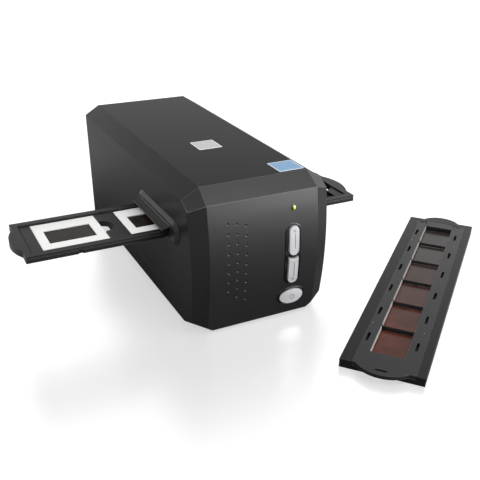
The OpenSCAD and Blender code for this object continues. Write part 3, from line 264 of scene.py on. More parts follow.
def tube_surface(path, radius, closed, sides=8):
    """Tube around a path: at each point a circle in the plane square to the path's
    direction. The ends of an open one narrow to about a third of its radius."""
    path = np.asarray(path, float)
    if closed:
        along = np.roll(path, -1, 0) - np.roll(path, 1, 0)
    else:
        along = np.gradient(path, axis=0)
    along /= np.linalg.norm(along, axis=1, keepdims=True)
    other = np.where(np.abs(along[:, 1:2]) > 0.9, [[1.0, 0, 0]], [[0, 1.0, 0]])
    side = np.cross(along, other)
    side /= np.linalg.norm(side, axis=1, keepdims=True)
    up = np.cross(side, along)
    a = np.linspace(0, 2 * np.pi, sides, endpoint=False)
    r = np.full(len(path), radius)
    if not closed:
        r[[0, -1]] = radius * 0.35
    ring = side[None] * np.cos(a)[:, None, None] + up[None] * np.sin(a)[:, None, None]
    return path[None] + ring * r[None, :, None]


def lathe_surface(profile, centre, steps):
    """A profile of (radius, height) pairs turned round the upright axis through centre."""
    a = np.linspace(0, 2 * np.pi, steps, endpoint=False)
    r, h = np.asarray(profile, float).T
    x = r[None] * np.cos(a)[:, None]
    y = r[None] * np.sin(a)[:, None]
    z = np.broadcast_to(h[None], x.shape)
    return np.stack([x, y, z], -1) + np.asarray(centre)


def screw_surface(y0, y1, lead, depth, sides=20, per_turn=10):
    """Threaded rod along Y between two journals. In the thread the radius at the angle
    a is r - depth (1 - cos(a - 2 pi y / lead)) / 2, so it climbs one lead a turn."""
    steps = int((THREAD_Y1 - THREAD_Y0) / lead * per_turn)
    y = np.concatenate([[y0, THREAD_Y0], np.linspace(THREAD_Y0, THREAD_Y1, steps), [THREAD_Y1, y1]])
    a = np.linspace(0, 2 * np.pi, sides, endpoint=False)[:, None]
    r = SCREW_R - depth * (1 - np.cos(a - 2 * np.pi * y[None] / lead)) / 2
    r[:, [0, 1, -2, -1]] = JOURNAL_R
    return np.stack([r * np.cos(a), np.broadcast_to(y[None], r.shape), r * np.sin(a)], -1)


def film_sheet(pitch, hole_l, hole_w, low, high):
    """Corners and faces of film with a row of holes along each edge. Its lines run
    along the holes' sides; a cell between them is film where it isn't a hole, and a
    wall stands wherever film borders a hole or the outside."""
    count = int(FILM_L // pitch)
    mids = (np.arange(count) - (count - 1) / 2) * pitch
    x = np.sort(np.concatenate([mids - hole_l / 2, mids + hole_l / 2, [-FILM_L / 2, FILM_L / 2]]))
    row = HOLE_ROW + np.array([-0.5, 0.5]) * hole_w
    y = np.concatenate([[-FILM_W / 2], -row[::-1], row, [FILM_W / 2]])
    nx, ny = len(x), len(y)
    film = np.zeros((nx + 1, ny + 1), bool)
    film[1:-1, 1:-1] = True
    film[2:-1:2, 2:-1:2] = False
    grid = np.stack(np.meshgrid(x, y, indexing="ij"), -1).reshape(-1, 2)
    verts = np.concatenate([
        np.column_stack([grid, np.full(len(grid), z)]) for z in (low, high)
    ])

    def at(layer, i, j):
        return layer * nx * ny + i * ny + j

    i, j = np.nonzero(film[1:-1, 1:-1])
    flat = [np.stack([at(n, i, j), at(n, i + 1, j), at(n, i + 1, j + 1), at(n, i, j + 1)], -1)
            for n in (0, 1)]
    i, j = np.nonzero(film[:-1, 1:-1] != film[1:, 1:-1])
    side_x = np.stack([at(0, i, j), at(0, i, j + 1), at(1, i, j + 1), at(1, i, j)], -1)
    i, j = np.nonzero(film[1:-1, :-1] != film[1:-1, 1:])
    side_y = np.stack([at(0, i, j), at(0, i + 1, j), at(1, i + 1, j), at(1, i, j)], -1)
    return verts, np.concatenate([*flat, side_x, side_y]).tolist()


# ------------------------------------------------------------------ shader groups


def new_group(name, inputs, outputs):
    """An empty shader group with its sockets."""
    group = bpy.data.node_groups.new(name, "ShaderNodeTree")
    for kind, label, value in inputs:
        socket = group.interface.new_socket(name=label, in_out="INPUT", socket_type=kind)
        if value is not None:
            socket.default_value = value
    for kind, label in outputs:
        group.interface.new_socket(name=label, in_out="OUTPUT", socket_type=kind)
    group.nodes.new("NodeGroupInput")
    group.nodes.new("NodeGroupOutput")
    return group, Wires(group)


class Wires:
    """Short ways to add and link nodes in one tree."""

    def __init__(self, tree):
        self.tree = tree
        self.start = next((n for n in tree.nodes if n.type == "GROUP_INPUT"), None)
        self.end = next((n for n in tree.nodes if n.type == "GROUP_OUTPUT"), None)

    def add(self, kind, values=(), **settings):
        node = self.tree.nodes.new(kind)
        for key, value in settings.items():
            setattr(node, key, value)
        for key, value in dict(values).items():
            self.set(node.inputs[key], value)
        return node

    def set(self, socket, value):
        if isinstance(value, bpy.types.NodeSocket):
            self.tree.links.new(value, socket)
        else:
            socket.default_value = value

    def math(self, operation, a, b=0.0):
        node = self.add("ShaderNodeMath", operation=operation)
        self.set(node.inputs[0], a)
        self.set(node.inputs[1], b)
        return node.outputs[0]

    def mix(self, factor, a, b):
        node = self.add("ShaderNodeMix", data_type="RGBA")
        self.set(node.inputs["Factor"], factor)
        for socket, value in ((node.inputs[6], a), (node.inputs[7], b)):
            if isinstance(value, (tuple, list)) or hasattr(value, "r"):
                value = (*value[:3], 1.0)
            self.set(socket, value)
        return node.outputs[2]

    def band(self, value, low, high, out_low=0.0, out_high=1.0):
        node = self.add("ShaderNodeMapRange", clamp=True)
        for key, v in zip(range(5), (value, low, high, out_low, out_high)):
            self.set(node.inputs[key], v)
        return node.outputs[0]


def group_grain():
    """Moulded grain: fine noise with a coarser, weaker one under it."""
    group, w = new_group(
        "MouldedGrain",
        [("NodeSocketVector", "Vector", None), ("NodeSocketFloat", "Scale", 1600.0)],
        [("NodeSocketFloat", "Height"), ("NodeSocketFloat", "Cloud")],
    )
    fine = w.add(
        "ShaderNodeTexNoise",
        {"Vector": w.start.outputs["Vector"], "Scale": w.start.outputs["Scale"], "Detail": 2.0},
    )
    cloud = w.add(
        "ShaderNodeTexNoise", {"Vector": w.start.outputs["Vector"], "Scale": 22.0, "Detail": 3.0}
    )
    w.set(w.end.inputs["Height"], fine.outputs[0])
    w.set(w.end.inputs["Cloud"], w.band(cloud.outputs[0], 0.35, 0.65))
    return group


def group_edge():
    """Soft edge: the shading normal rounded over a radius, and a mask of upper edges, where finishes
    paint a highlight.
    """
    group, w = new_group(
        "SoftEdge",
        [("NodeSocketFloat", "Radius", 0.0007)],
        [("NodeSocketVector", "Normal"), ("NodeSocketFloat", "Edge")],
    )
    bevel = w.add("ShaderNodeBevel", {"Radius": w.start.outputs["Radius"]}, samples=6)
    facing = w.add("ShaderNodeNewGeometry")
    dot = w.add("ShaderNodeVectorMath", operation="DOT_PRODUCT")
    w.set(dot.inputs[0], bevel.outputs[0])
    w.set(dot.inputs[1], facing.outputs["True Normal"])
    w.set(w.end.inputs["Normal"], bevel.outputs[0])
    split = w.add("ShaderNodeSeparateXYZ", {"Vector": bevel.outputs[0]})
    # Only edges that face up: the mask places a painted highlight
    upward = w.band(split.outputs[2], 0.1, 0.5)
    edge = w.band(dot.outputs["Value"], 0.998, 0.95)
    w.set(w.end.inputs["Edge"], w.math("MULTIPLY", edge, upward))
    return group


def group_dust():
    """Dust: sparse soft specks, stronger on faces that look up."""
    group, w = new_group(
        "LightDust",
        [("NodeSocketVector", "Vector", None), ("NodeSocketFloat", "Amount", 0.3)],
        [("NodeSocketFloat", "Mask")],
    )
    specks = w.add(
        "ShaderNodeTexVoronoi", {"Vector": w.start.outputs["Vector"], "Scale": 420.0}
    )
    spot = w.band(specks.outputs["Distance"], 0.16, 0.05)
    veil = w.add(
        "ShaderNodeTexNoise", {"Vector": w.start.outputs["Vector"], "Scale": 35.0, "Detail": 5.0}
    )
    few = w.math("MULTIPLY", spot, w.band(veil.outputs[0], 0.52, 0.72))
    split = w.add("ShaderNodeSeparateXYZ")
    w.set(split.inputs[0], w.add("ShaderNodeNewGeometry").outputs["True Normal"])
    up = w.band(split.outputs[2], 0.2, 0.9)
    w.set(
        w.end.inputs["Mask"],
        w.math("MULTIPLY", w.math("MULTIPLY", few, up), w.start.outputs["Amount"]),
    )
    return group


def group_strip():
    """Place on the film strip holder: distances from its middle, along and across."""
    group, w = new_group(
        "StripPlace",
        [("NodeSocketVector", "Vector", None)],
        [("NodeSocketFloat", "Along"), ("NodeSocketFloat", "Across")],
    )
    centre = middle("film_strip")
    for label, way in (("Along", ALONG), ("Across", ACROSS)):
        dot = w.add("ShaderNodeVectorMath", operation="DOT_PRODUCT")
        w.set(dot.inputs[0], w.start.outputs["Vector"])
        dot.inputs[1].default_value = way.tolist()
        here = w.math("SUBTRACT", dot.outputs["Value"], float(centre @ way))
        w.set(w.end.inputs[label], here)
    return group


def shared(name, build):
    """The group of that name, built the first time it is asked for."""
    return bpy.data.node_groups.get(name) or build()


def new_material(name):
    """A material with one Principled shader, its wires and Object coordinates."""
    material = bpy.data.materials.new(name)
    material.use_nodes = True
    tree = material.node_tree
    tree.nodes.clear()
    w = Wires(tree)
    shader = w.add("ShaderNodeBsdfPrincipled")
    out = w.add("ShaderNodeOutputMaterial")
    w.set(out.inputs["Surface"], shader.outputs[0])
    coords = w.add("ShaderNodeTexCoord").outputs["Object"]
    return material, w, shader, coords


def use_group(w, group, **values):
    node = w.add("ShaderNodeGroup")
    node.node_tree = group
    for key, value in values.items():
        w.set(node.inputs[key.replace("_", " ")], value)
    return node


def moulded(name, rgb, rough=0.42, grain=1600.0, bump=0.06, specular=0.22, edge=0.0, lift=0.35,
            cloud=0.03, dust=0.12, top=None):
    """Moulded plastic: fine grain in the bump, cloudy roughness, a painted highlight that lightens
    the upper soft edges, and a faint cloud of the same lighter tone.
    With a top value, faces that look up have that specular level instead."""
    material, w, shader, coords = new_material(name)
    grain_node = use_group(w, shared("MouldedGrain", group_grain), Vector=coords, Scale=grain)
    dust_node = use_group(w, shared("LightDust", group_dust), Vector=coords, Amount=dust)
    # Lighter tone, lift times lighter: the painted highlight on upper edges, and a faint random cloud
    highlight_and_cloud_tone = tuple(min(1.0, c * (1 + lift)) for c in rgb)
    colour = tuple(rgb)
    bump_values = {"Strength": bump, "Distance": 0.0001, "Height": grain_node.outputs["Height"]}
    if edge:
        edge_node = use_group(w, shared("SoftEdge", group_edge), Radius=edge)
        # Painted highlight: the upper soft edges take the lighter tone
        colour = w.mix(edge_node.outputs["Edge"], colour, highlight_and_cloud_tone)
        bump_values["Normal"] = edge_node.outputs["Normal"]
    # Faint random cloud of the lighter tone
    colour = w.mix(w.math("MULTIPLY", grain_node.outputs["Cloud"], cloud), colour, highlight_and_cloud_tone)
    colour = w.mix(dust_node.outputs["Mask"], colour, (0.3, 0.3, 0.29))
    w.set(shader.inputs["Base Color"], colour)
    rough_value = w.band(grain_node.outputs["Height"], 0.3, 0.7, rough - 0.03, rough + 0.03)
    w.set(shader.inputs["Roughness"], rough_value)
    shader.inputs["Specular IOR Level"].default_value = specular
    if top is not None:
        facing = w.add("ShaderNodeSeparateXYZ", {
            "Vector": w.add("ShaderNodeNewGeometry").outputs["True Normal"]})
        level = w.band(facing.outputs[2], 0.75, 0.95, specular, top)
        w.set(shader.inputs["Specular IOR Level"], level)
    w.set(shader.inputs["Normal"], w.add("ShaderNodeBump", bump_values).outputs[0])
    return material


def metal(name, rgb, rough=0.3, brushed=(1.0, 1.0, 1.0), bump=0.05, scale=900.0, edge=0.0003):
    """Metal with fine drawn lines or tumbling marks and soft edges."""
    material, w, shader, coords = new_material(name)
    stretch = w.add("ShaderNodeMapping", {"Vector": coords, "Scale": brushed})
    lines = w.add(
        "ShaderNodeTexNoise", {"Vector": stretch.outputs[0], "Scale": scale, "Detail": 3.0}
    )
    edge_node = use_group(w, shared("SoftEdge", group_edge), Radius=edge)
    tone = w.band(lines.outputs[0], 0.3, 0.7)
    darker = tuple(c * 0.82 for c in rgb)
    w.set(shader.inputs["Base Color"], w.mix(tone, darker, tuple(rgb)))
    shader.inputs["Metallic"].default_value = 1.0
    w.set(shader.inputs["Roughness"], w.band(tone, 0.0, 1.0, rough + 0.06, rough - 0.04))
    bumped = w.add(
        "ShaderNodeBump",
        {"Strength": bump, "Distance": 0.00005, "Height": lines.outputs[0],
         "Normal": edge_node.outputs["Normal"]},
    )
    w.set(shader.inputs["Normal"], bumped.outputs[0])
    return material


def painted_silver():
    """Silver paint: fine flakes under a thin clear coat."""
    material, w, shader, coords = new_material("silver_paint")
    flakes = w.add("ShaderNodeTexVoronoi", {"Vector": coords, "Scale": 5200.0})
    edge_node = use_group(w, shared("SoftEdge", group_edge), Radius=0.0005)
    base = tuple(finishes().silver)
    darker = tuple(c * 0.9 for c in base)
    w.set(
        shader.inputs["Base Color"],
        w.mix(w.band(flakes.outputs["Distance"], 0.1, 0.6), base, darker),
    )
    shader.inputs["Metallic"].default_value = 0.15
    w.set(shader.inputs["Roughness"], w.band(flakes.outputs["Distance"], 0.1, 0.6, 0.3, 0.4))
    shader.inputs["Coat Weight"].default_value = 0.15
    shader.inputs["Coat Roughness"].default_value = 0.2
    w.set(shader.inputs["Normal"], edge_node.outputs["Normal"])
    return material


def gloss_black():
    """Polished black ring: high gloss with a faint ripple, and a painted highlight that lightens its
    upper edges.
    """
    material, w, shader, coords = new_material("gloss_black")
    ripple = w.add("ShaderNodeTexNoise", {"Vector": coords, "Scale": 160.0, "Detail": 1.0})
    edge_node = use_group(w, shared("SoftEdge", group_edge), Radius=0.0006)
    base = tuple(finishes().gloss)
    # Painted highlight: the upper edges are 1.6 times lighter
    w.set(
        shader.inputs["Base Color"],
        w.mix(edge_node.outputs["Edge"], base, tuple(c * 1.6 for c in base)),
    )
    w.set(shader.inputs["Roughness"], w.band(ripple.outputs[0], 0.3, 0.7, 0.10, 0.16))
    shader.inputs["Coat Weight"].default_value = 0.5
    bumped = w.add(
        "ShaderNodeBump",
        {"Strength": 0.05, "Distance": 0.0002, "Height": ripple.outputs[0],
         "Normal": edge_node.outputs["Normal"]},
    )
    w.set(shader.inputs["Normal"], bumped.outputs[0])
    return material


def film_finish(name, rgb, other, scale, specular=0.22):
    """Exposed film: glossy, its picture a soft cloud of two densities."""
    material, w, shader, coords = new_material(name)
    blot = w.add(
        "ShaderNodeTexNoise", {"Vector": coords, "Scale": scale, "Detail": 4.0, "Roughness": 0.6}
    )
    density = w.band(blot.outputs[0], 0.35, 0.68)
    w.set(shader.inputs["Base Color"], w.mix(density, tuple(rgb), tuple(other)))
    shader.inputs["Specular IOR Level"].default_value = specular
    w.set(shader.inputs["Roughness"], w.band(blot.outputs[0], 0.3, 0.7, 0.18, 0.28))
    bend = w.add("ShaderNodeTexNoise", {"Vector": coords, "Scale": 30.0, "Detail": 0.0})
    bumped = w.add(
        "ShaderNodeBump", {"Strength": 0.25, "Distance": 0.0012, "Height": bend.outputs[0]}
    )
    w.set(shader.inputs["Normal"], bumped.outputs[0])
    return material


def negative_strip():
    """Colour negative: greyer towards the far end, with clear orange film along each
    edge and between the pictures."""
    material = film_finish("negative_film", finishes().film, (0.080, 0.020, 0.011), 70.0, 0.20)
    w = Wires(material.node_tree)
    shader = next(n for n in w.tree.nodes if n.type == "BSDF_PRINCIPLED")
    picture = shader.inputs["Base Color"].links[0].from_socket
    spot = use_group(w, shared("StripPlace", group_strip),
                     Vector=w.add("ShaderNodeTexCoord").outputs["Object"])
    across = w.math("ABSOLUTE", spot.outputs["Across"])
    far = w.band(spot.outputs["Along"], -0.11, 0.06)
    picture = w.mix(far, picture, (0.022, 0.017, 0.016))
    shifted = w.math("ADD", spot.outputs["Along"], FRAMES / 2 * FRAME_PITCH)
    frame_x = w.math("PINGPONG", shifted, FRAME_PITCH / 2)
    gap = w.band(frame_x, WINDOW_L / 2 * 0.03, WINDOW_L / 2 * 0.02)
    clear = w.math("MAXIMUM", w.band(across, 0.0121, 0.0123), gap)
    w.set(shader.inputs["Base Color"], w.mix(clear, picture, (0.16, 0.055, 0.018)))
    return material


def lid_finish():
    """Lid plastic, duller on the recessed bars between the windows and darkened there with painted
    shade.
    """
    # Painted highlight: lift 4 makes the lid's upper soft edges five times lighter
    material = moulded("lid_plastic", finishes().lid, rough=0.40, edge=0.0004, lift=4.0, cloud=0.0)
    w = Wires(material.node_tree)
    shader = next(n for n in w.tree.nodes if n.type == "BSDF_PRINCIPLED")
    spot = use_group(w, shared("StripPlace", group_strip),
                     Vector=w.add("ShaderNodeTexCoord").outputs["Object"])
    row = (FRAMES - 1) * FRAME_PITCH / 2 + WINDOW_L / 2
    ends = w.band(w.math("ABSOLUTE", spot.outputs["Along"]), row, row - 0.0002)
    sides = w.band(w.math("ABSOLUTE", spot.outputs["Across"]), WINDOW_W / 2,
                   WINDOW_W / 2 - 0.0002)
    bars = w.math("MULTIPLY", ends, sides)
    plain = shader.inputs["Base Color"].links[0].from_socket
    rough = shader.inputs["Roughness"].links[0].from_socket
    # Painted shade: the recessed bars between the windows are darkened to near black
    w.set(shader.inputs["Base Color"], w.mix(bars, plain, (0.004, 0.004, 0.004)))
    w.set(shader.inputs["Roughness"], w.math("ADD", rough, w.math("MULTIPLY", bars, 0.3)))
    w.set(shader.inputs["Specular IOR Level"], w.band(bars, 0.0, 1.0, 0.22, 0.03))
    return material


def paper(name, rgb, rough=0.5, edge=0.0001):
    """Card or printed label: faint fibre and a soft edge."""
    material, w, shader, coords = new_material(name)
    fibre = w.add("ShaderNodeTexNoise", {"Vector": coords, "Scale": 700.0, "Detail": 4.0})
    darker = tuple(c * 0.93 for c in rgb)
    w.set(
        shader.inputs["Base Color"],
        w.mix(w.band(fibre.outputs[0], 0.35, 0.65), tuple(rgb), darker),
    )
    w.set(shader.inputs["Roughness"], w.band(fibre.outputs[0], 0.3, 0.7, rough - 0.06, rough))
    edge_node = use_group(w, shared("SoftEdge", group_edge), Radius=edge)
    bumped = w.add(
        "ShaderNodeBump",
        {"Strength": 0.1, "Distance": 0.00004, "Height": fibre.outputs[0],
         "Normal": edge_node.outputs["Normal"]},
    )
    w.set(shader.inputs["Normal"], bumped.outputs[0])
    return material


def circuit(name, rgb):
    """Circuit board: solder mask over a web of raised copper tracks, with tinned pads."""
    material, w, shader, coords = new_material(name)
    tracks = w.add(
        "ShaderNodeTexVoronoi", {"Vector": coords, "Scale": 260.0}, feature="F1",
        distance="CHEBYCHEV",
    )
    track = w.band(tracks.outputs["Distance"], 0.36, 0.40)
    pad = w.band(tracks.outputs["Distance"], 0.10, 0.07)
    lit = tuple(min(1.0, c * 1.9 + 0.01) for c in rgb)
    colour = w.mix(track, tuple(rgb), lit)
    w.set(shader.inputs["Base Color"], w.mix(pad, colour, (0.62, 0.6, 0.5)))
    w.set(shader.inputs["Metallic"], pad)
    w.set(shader.inputs["Roughness"], w.band(track, 0.0, 1.0, 0.35, 0.28))
    bumped = w.add("ShaderNodeBump", {"Strength": 0.3, "Distance": 0.00005, "Height": track})
    w.set(shader.inputs["Normal"], bumped.outputs[0])
    return material


def clear_glass(name, rgb):
    """Coated lens glass."""
    material, w, shader, coords = new_material(name)
    layer = w.add("ShaderNodeLayerWeight", {"Blend": 0.35})
    w.set(
        shader.inputs["Base Color"],
        w.mix(layer.outputs["Facing"], (0.80, 0.86, 0.98), tuple(rgb)),
    )
    shader.inputs["Transmission Weight"].default_value = 1.0
    shader.inputs["IOR"].default_value = 1.52
    haze = w.add("ShaderNodeTexNoise", {"Vector": coords, "Scale": 300.0})
    w.set(shader.inputs["Roughness"], w.band(haze.outputs[0], 0.4, 0.7, 0.0, 0.03))
    return material


def glowing(name, rgb, strength):
    """Tinted lens that is lit from behind, with painted shade over its left part for the shadow of
    the wall of its hole.
    """
    material, w, shader, coords = new_material(name)
    cells = w.add("ShaderNodeTexNoise", {"Vector": coords, "Scale": 900.0, "Detail": 1.0})
    clear = w.mix(w.band(cells.outputs[0], 0.4, 0.6), tuple(rgb), tuple(c * 0.8 for c in rgb))
    split = w.add("ShaderNodeSeparateXYZ", {"Vector": coords})
    centre = middle("status_light")
    # Painted shade: left of its middle the lens is dark and barely glows; towards the right it is lit
    side = w.math("SUBTRACT", split.outputs[0], float(centre[0]))
    bright = w.band(side, -0.0002, 0.0011, 0.02, 1.0)
    w.set(shader.inputs["Base Color"], w.mix(bright, (0.02, 0.03, 0.005), clear))
    w.set(shader.inputs["Emission Color"], w.mix(bright, (0.005, 0.012, 0.0), tuple(rgb)))
    shader.inputs["Emission Strength"].default_value = strength
    shader.inputs["Roughness"].default_value = 0.12
    shader.inputs["Coat Weight"].default_value = 0.6
    return material


# ------------------------------------------------------------------ helpers for pieces


def dress(node, material):
    """Gives a CAD node its material."""
    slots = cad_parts[node].data.materials
    slots.clear()
    slots.append(material)


def place(piece, body, slot, material, *nodes):
    """Gives a new piece its material and body, and hides the nodes it stands for. The slot is not
    used.
    """
    piece.data.materials.clear()
    piece.data.materials.append(material)
    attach(piece, body)
    if nodes:
        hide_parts(*nodes)
    return piece


# ------------------------------------------------------------------ operators


class SCANNER_OT_stage(bpy.types.Operator):
    """Sets the camera, the pale floor, the white surroundings and the soft lights"""

    bl_idname = "scanner.stage"
    bl_label = "Studio"

    def execute(self, context):
        camera = bpy.data.cameras.new("camera")
        camera.lens = LENS
        camera.sensor_width = SENSOR
        camera.clip_end = 20.0
        eye = bpy.data.objects.new("camera", camera)
        eye.location = EYE_AT
        eye.rotation_euler = EYE_TURN
        context.scene.collection.objects.link(eye)
        context.scene.camera = eye
        self.surroundings(context)
        self.floor(context)
        for name, place_at, aim, size, watts in LIGHTS:
            lamp = bpy.data.lights.new(name, "AREA")
            lamp.shape = "RECTANGLE"
            lamp.size, lamp.size_y = size
            lamp.energy = watts
            light = bpy.data.objects.new(name, lamp)
            light.location = place_at
            light.visible_camera = False
            light.rotation_mode = "QUATERNION"
            light.rotation_quaternion = (Vector(aim) - Vector(place_at)).to_track_quat("-Z", "Y")
            context.scene.collection.objects.link(light)
        context.scene.view_settings.view_transform = "Standard"
        return {"FINISHED"}

    def surroundings(self, context):
        """White where the camera, gloss or glass looks, softer as a light."""
        world = bpy.data.worlds.new("studio")
        world.use_nodes = True
        tree = world.node_tree
        tree.nodes.clear()
        w = Wires(tree)
        path = w.add("ShaderNodeLightPath")
        seen = w.math("MAXIMUM", path.outputs["Is Camera Ray"], path.outputs["Is Transmission Ray"])
        strength = w.band(seen, 0.0, 1.0, 0.35, 1.0)
        split = w.add("ShaderNodeSeparateXYZ", {"Vector": w.add("ShaderNodeTexCoord").outputs[0]})
        behind = w.band(split.outputs[1], -0.1, 0.6, 0.60, 1.0)
        low = w.band(split.outputs[2], 0.30, 0.18, 1.0, 2.0)
        right = w.band(split.outputs[0], 0.52, 0.70, 1.0, 1.7)
        tall = w.band(split.outputs[2], 0.36, 0.54, 1.0, 0.7)
        lifted = w.math("MULTIPLY", behind, w.math("MAXIMUM", low, right))
        lifted = w.math("MULTIPLY", lifted, tall)
        ahead = w.band(split.outputs[1], 0.0, 0.3)
        gloss = w.mix(ahead, behind, lifted)
        strength = w.mix(path.outputs["Is Glossy Ray"], strength, gloss)
        back = w.add("ShaderNodeBackground", {"Color": (1, 1, 1, 1), "Strength": strength})
        out = w.add("ShaderNodeOutputWorld")
        w.set(out.inputs["Surface"], back.outputs[0])
        context.scene.world = world

    def floor(self, context):
        """Pale glossy sheet: mostly its own white, with soft shadow and reflection; to gloss it shows
        painted shade near the case.
        """
        steps = np.linspace(-FLOOR_HALF, FLOOR_HALF, 5)
        x, y = np.meshgrid(steps, steps, indexing="ij")
        grid = np.stack([x, y, np.full_like(x, FLOOR_Z)], -1)
        piece = mesh_piece("floor", grid.reshape(-1, 3), grid_faces(5, 5, False, False))
        material = bpy.data.materials.new("pale_floor")
        material.use_nodes = True
        tree = material.node_tree
        tree.nodes.clear()
        w = Wires(tree)
        path = w.add("ShaderNodeLightPath")
        seen = w.math("MAXIMUM", path.outputs["Is Camera Ray"], path.outputs["Is Transmission Ray"])
        away = w.add("ShaderNodeVectorMath", operation="LENGTH")
        w.set(away.inputs[0], w.add("ShaderNodeTexCoord").outputs["Object"])
        split = w.add(
            "ShaderNodeSeparateXYZ", {"Vector": w.add("ShaderNodeTexCoord").outputs["Object"]}
        )
        # Painted shade in reflections: to gloss rays the floor glows dim in front of and under the
        # case, brighter beside, behind and far off
        beside = w.band(w.math("ABSOLUTE", split.outputs[0]), 0.05, 0.22, 0.06, 0.65)
        behind = w.band(split.outputs[1], 0.13, 0.32, 0.04, 0.65)
        far = w.band(away.outputs["Value"], 0.3, 2.6, 0.04, 0.5)
        mirrored = w.add("ShaderNodeEmission", {
            "Color": (1, 1, 1, 1),
            "Strength": w.math("MAXIMUM", w.math("MAXIMUM", beside, behind), far),
        })
        own = w.add(
            "ShaderNodeEmission",
            {"Color": (1, 1, 1, 1), "Strength": w.math("MULTIPLY", seen, 1.2)},
        )
        matt = w.add("ShaderNodeBsdfDiffuse", {"Color": (0.14, 0.14, 0.14, 1)})
        gloss = w.add("ShaderNodeBsdfGlossy", {"Color": (1, 1, 1, 1), "Roughness": 0.3})
        base = w.add("ShaderNodeAddShader")
        w.set(base.inputs[0], own.outputs[0])
        w.set(base.inputs[1], matt.outputs[0])
        both = w.add("ShaderNodeMixShader", {"Fac": 0.5})
        w.set(both.inputs[1], base.outputs[0])
        w.set(both.inputs[2], gloss.outputs[0])
        dimmed = w.add("ShaderNodeMixShader", {"Fac": path.outputs["Is Glossy Ray"]})
        w.set(dimmed.inputs[1], both.outputs[0])
        w.set(dimmed.inputs[2], mirrored.outputs[0])
        out = w.add("ShaderNodeOutputMaterial")
        w.set(out.inputs["Surface"], dimmed.outputs[0])
        piece.data.materials.append(material)


class SCANNER_OT_case(bpy.types.Operator):
    """Finishes the case, its bezel, hoods, flaps, cover and rear panel"""

    bl_idname = "scanner.case"
    bl_label = "Case"

    def execute(self, context):
        f = finishes()
        soft = sizes().edge_soft
        # Painted highlight: each finish with a soft edge lightens its upper edges by its lift, most
        # on the bezel and hoods
        dress("top_housing", moulded("case_plastic", f.case, rough=0.36, specular=0.15, top=0.025,
                                     edge=soft))
        dress("rear_panel", moulded("rear_plastic", f.case, rough=0.40, specular=0.5, edge=soft))
        dress("bottom_cover", moulded("cover_plastic", tuple(c * 0.8 for c in f.case), rough=0.5,
                                      edge=soft))
        dress("front_bezel", moulded("bezel_plastic", f.bezel, rough=0.40, specular=0.24,
                                     edge=0.0008, lift=9.0, cloud=0.0))
        hood = moulded("hood_plastic", f.hood, rough=0.38, edge=soft, lift=2.5, cloud=0.0)
        for node in ("left_slot_hood", "right_slot_hood", "holder_guide"):
            dress(node, hood)
        flap = moulded("flap_plastic", tuple(c * 0.9 for c in f.holder), rough=0.36, edge=0.0004,
                       lift=0.8)
        dress("left_dust_flap", flap)
        dress("right_dust_flap", flap)
        steel = metal("plated_steel", f.metal)
        for node in ("case_screws", "chassis_screws", "flap_pins", "strip_lid_pins"):
            dress(node, steel)
        return {"FINISHED"}


class SCANNER_OT_controls(bpy.types.Operator):
    """Finishes the keys, rings and status light"""

    bl_idname = "scanner.controls"
    bl_label = "Front controls"

    def execute(self, context):
        gloss = gloss_black()
        dress("key_surround", gloss)
        dress("power_ring", gloss)
        silver = painted_silver()
        for node in ("upper_key", "lower_key", "power_key"):
            dress(node, silver)
        dress("status_light", glowing("status_lens", tuple(finishes().light), 0.9))
        return {"FINISHED"}


def bowed(points, proud):
    """Points (x, z) laid on the bowed front, proud of it: y = y0 - sqrt((r + proud)^2 -
    (z - z0)^2)."""
    x, z = np.asarray(points, float).T
    y = BOW_Y - np.sqrt((BOW_R + proud) ** 2 - (z - BOW_Z) ** 2)
    return np.column_stack([x, y, z])


class SCANNER_OT_key_marks(bpy.types.Operator):
    """Adds the crease line and end ring of each scan key and the power mark"""

    bl_idname = "scanner.key_marks"
    bl_label = "Key marks"

    def execute(self, context):
        wire = sizes().mark_wire
        grey = moulded("mark_grey", (0.035, 0.035, 0.037), rough=0.4, bump=0.03)
        turn = np.linspace(0, 2 * np.pi, 28, endpoint=False)
        for name, body, end in (("upper", "upper_button", 1), ("lower", "lower_button", -1)):
            node = name + "_key"
            low, high = np.array(BOX[node][0]), np.array(BOX[node][1])
            x = (low[0] + high[0]) / 2
            tip = high[2] if end > 0 else low[2]
            mark_z = tip - end * MARK_IN
            ring = np.column_stack([x + MARK_R * np.cos(turn), mark_z + MARK_R * np.sin(turn)])
            line_z = np.linspace(mark_z - end * 0.002, tip - end * (MARK_IN + KEY_LINE), 12)
            line = np.column_stack([np.full(12, x + 0.0006), line_z])
            parts = [
                (tube_surface(bowed(ring, KEY_PROUD), wire, True), True, True, False),
                (tube_surface(bowed(line, KEY_PROUD), wire, False), True, False, True),
            ]
            place(joined(name + "_key_mark", parts), body, "trim_black", grey)
        self.power_mark(wire, grey)
        return {"FINISHED"}

    def power_mark(self, wire, grey):
        """A ring open at the top with a short bar, laid on the dome of the key."""
        centre = middle("power_key")
        x0, z0 = float(centre[0]), float(centre[2])
        apex = float(BOX["power_key"][0][1])
        r = sizes().icon_r
        a = np.linspace(math.radians(125), math.radians(415), 30)
        ring = np.column_stack([r * np.cos(a), r * np.sin(a)])
        bar = np.column_stack([np.zeros(8), np.linspace(0.2 * r, 1.25 * r, 8)])
        parts = []
        for flat in (ring, bar):
            deep = DOME_R - np.sqrt(DOME_R ** 2 - flat[:, 0] ** 2 - flat[:, 1] ** 2)
            path = np.column_stack([x0 + flat[:, 0], apex + deep, z0 + flat[:, 1]])
            parts.append((tube_surface(path, wire, False), True, False, True))
        place(joined("power_mark", parts), "power_button", "trim_black", grey)


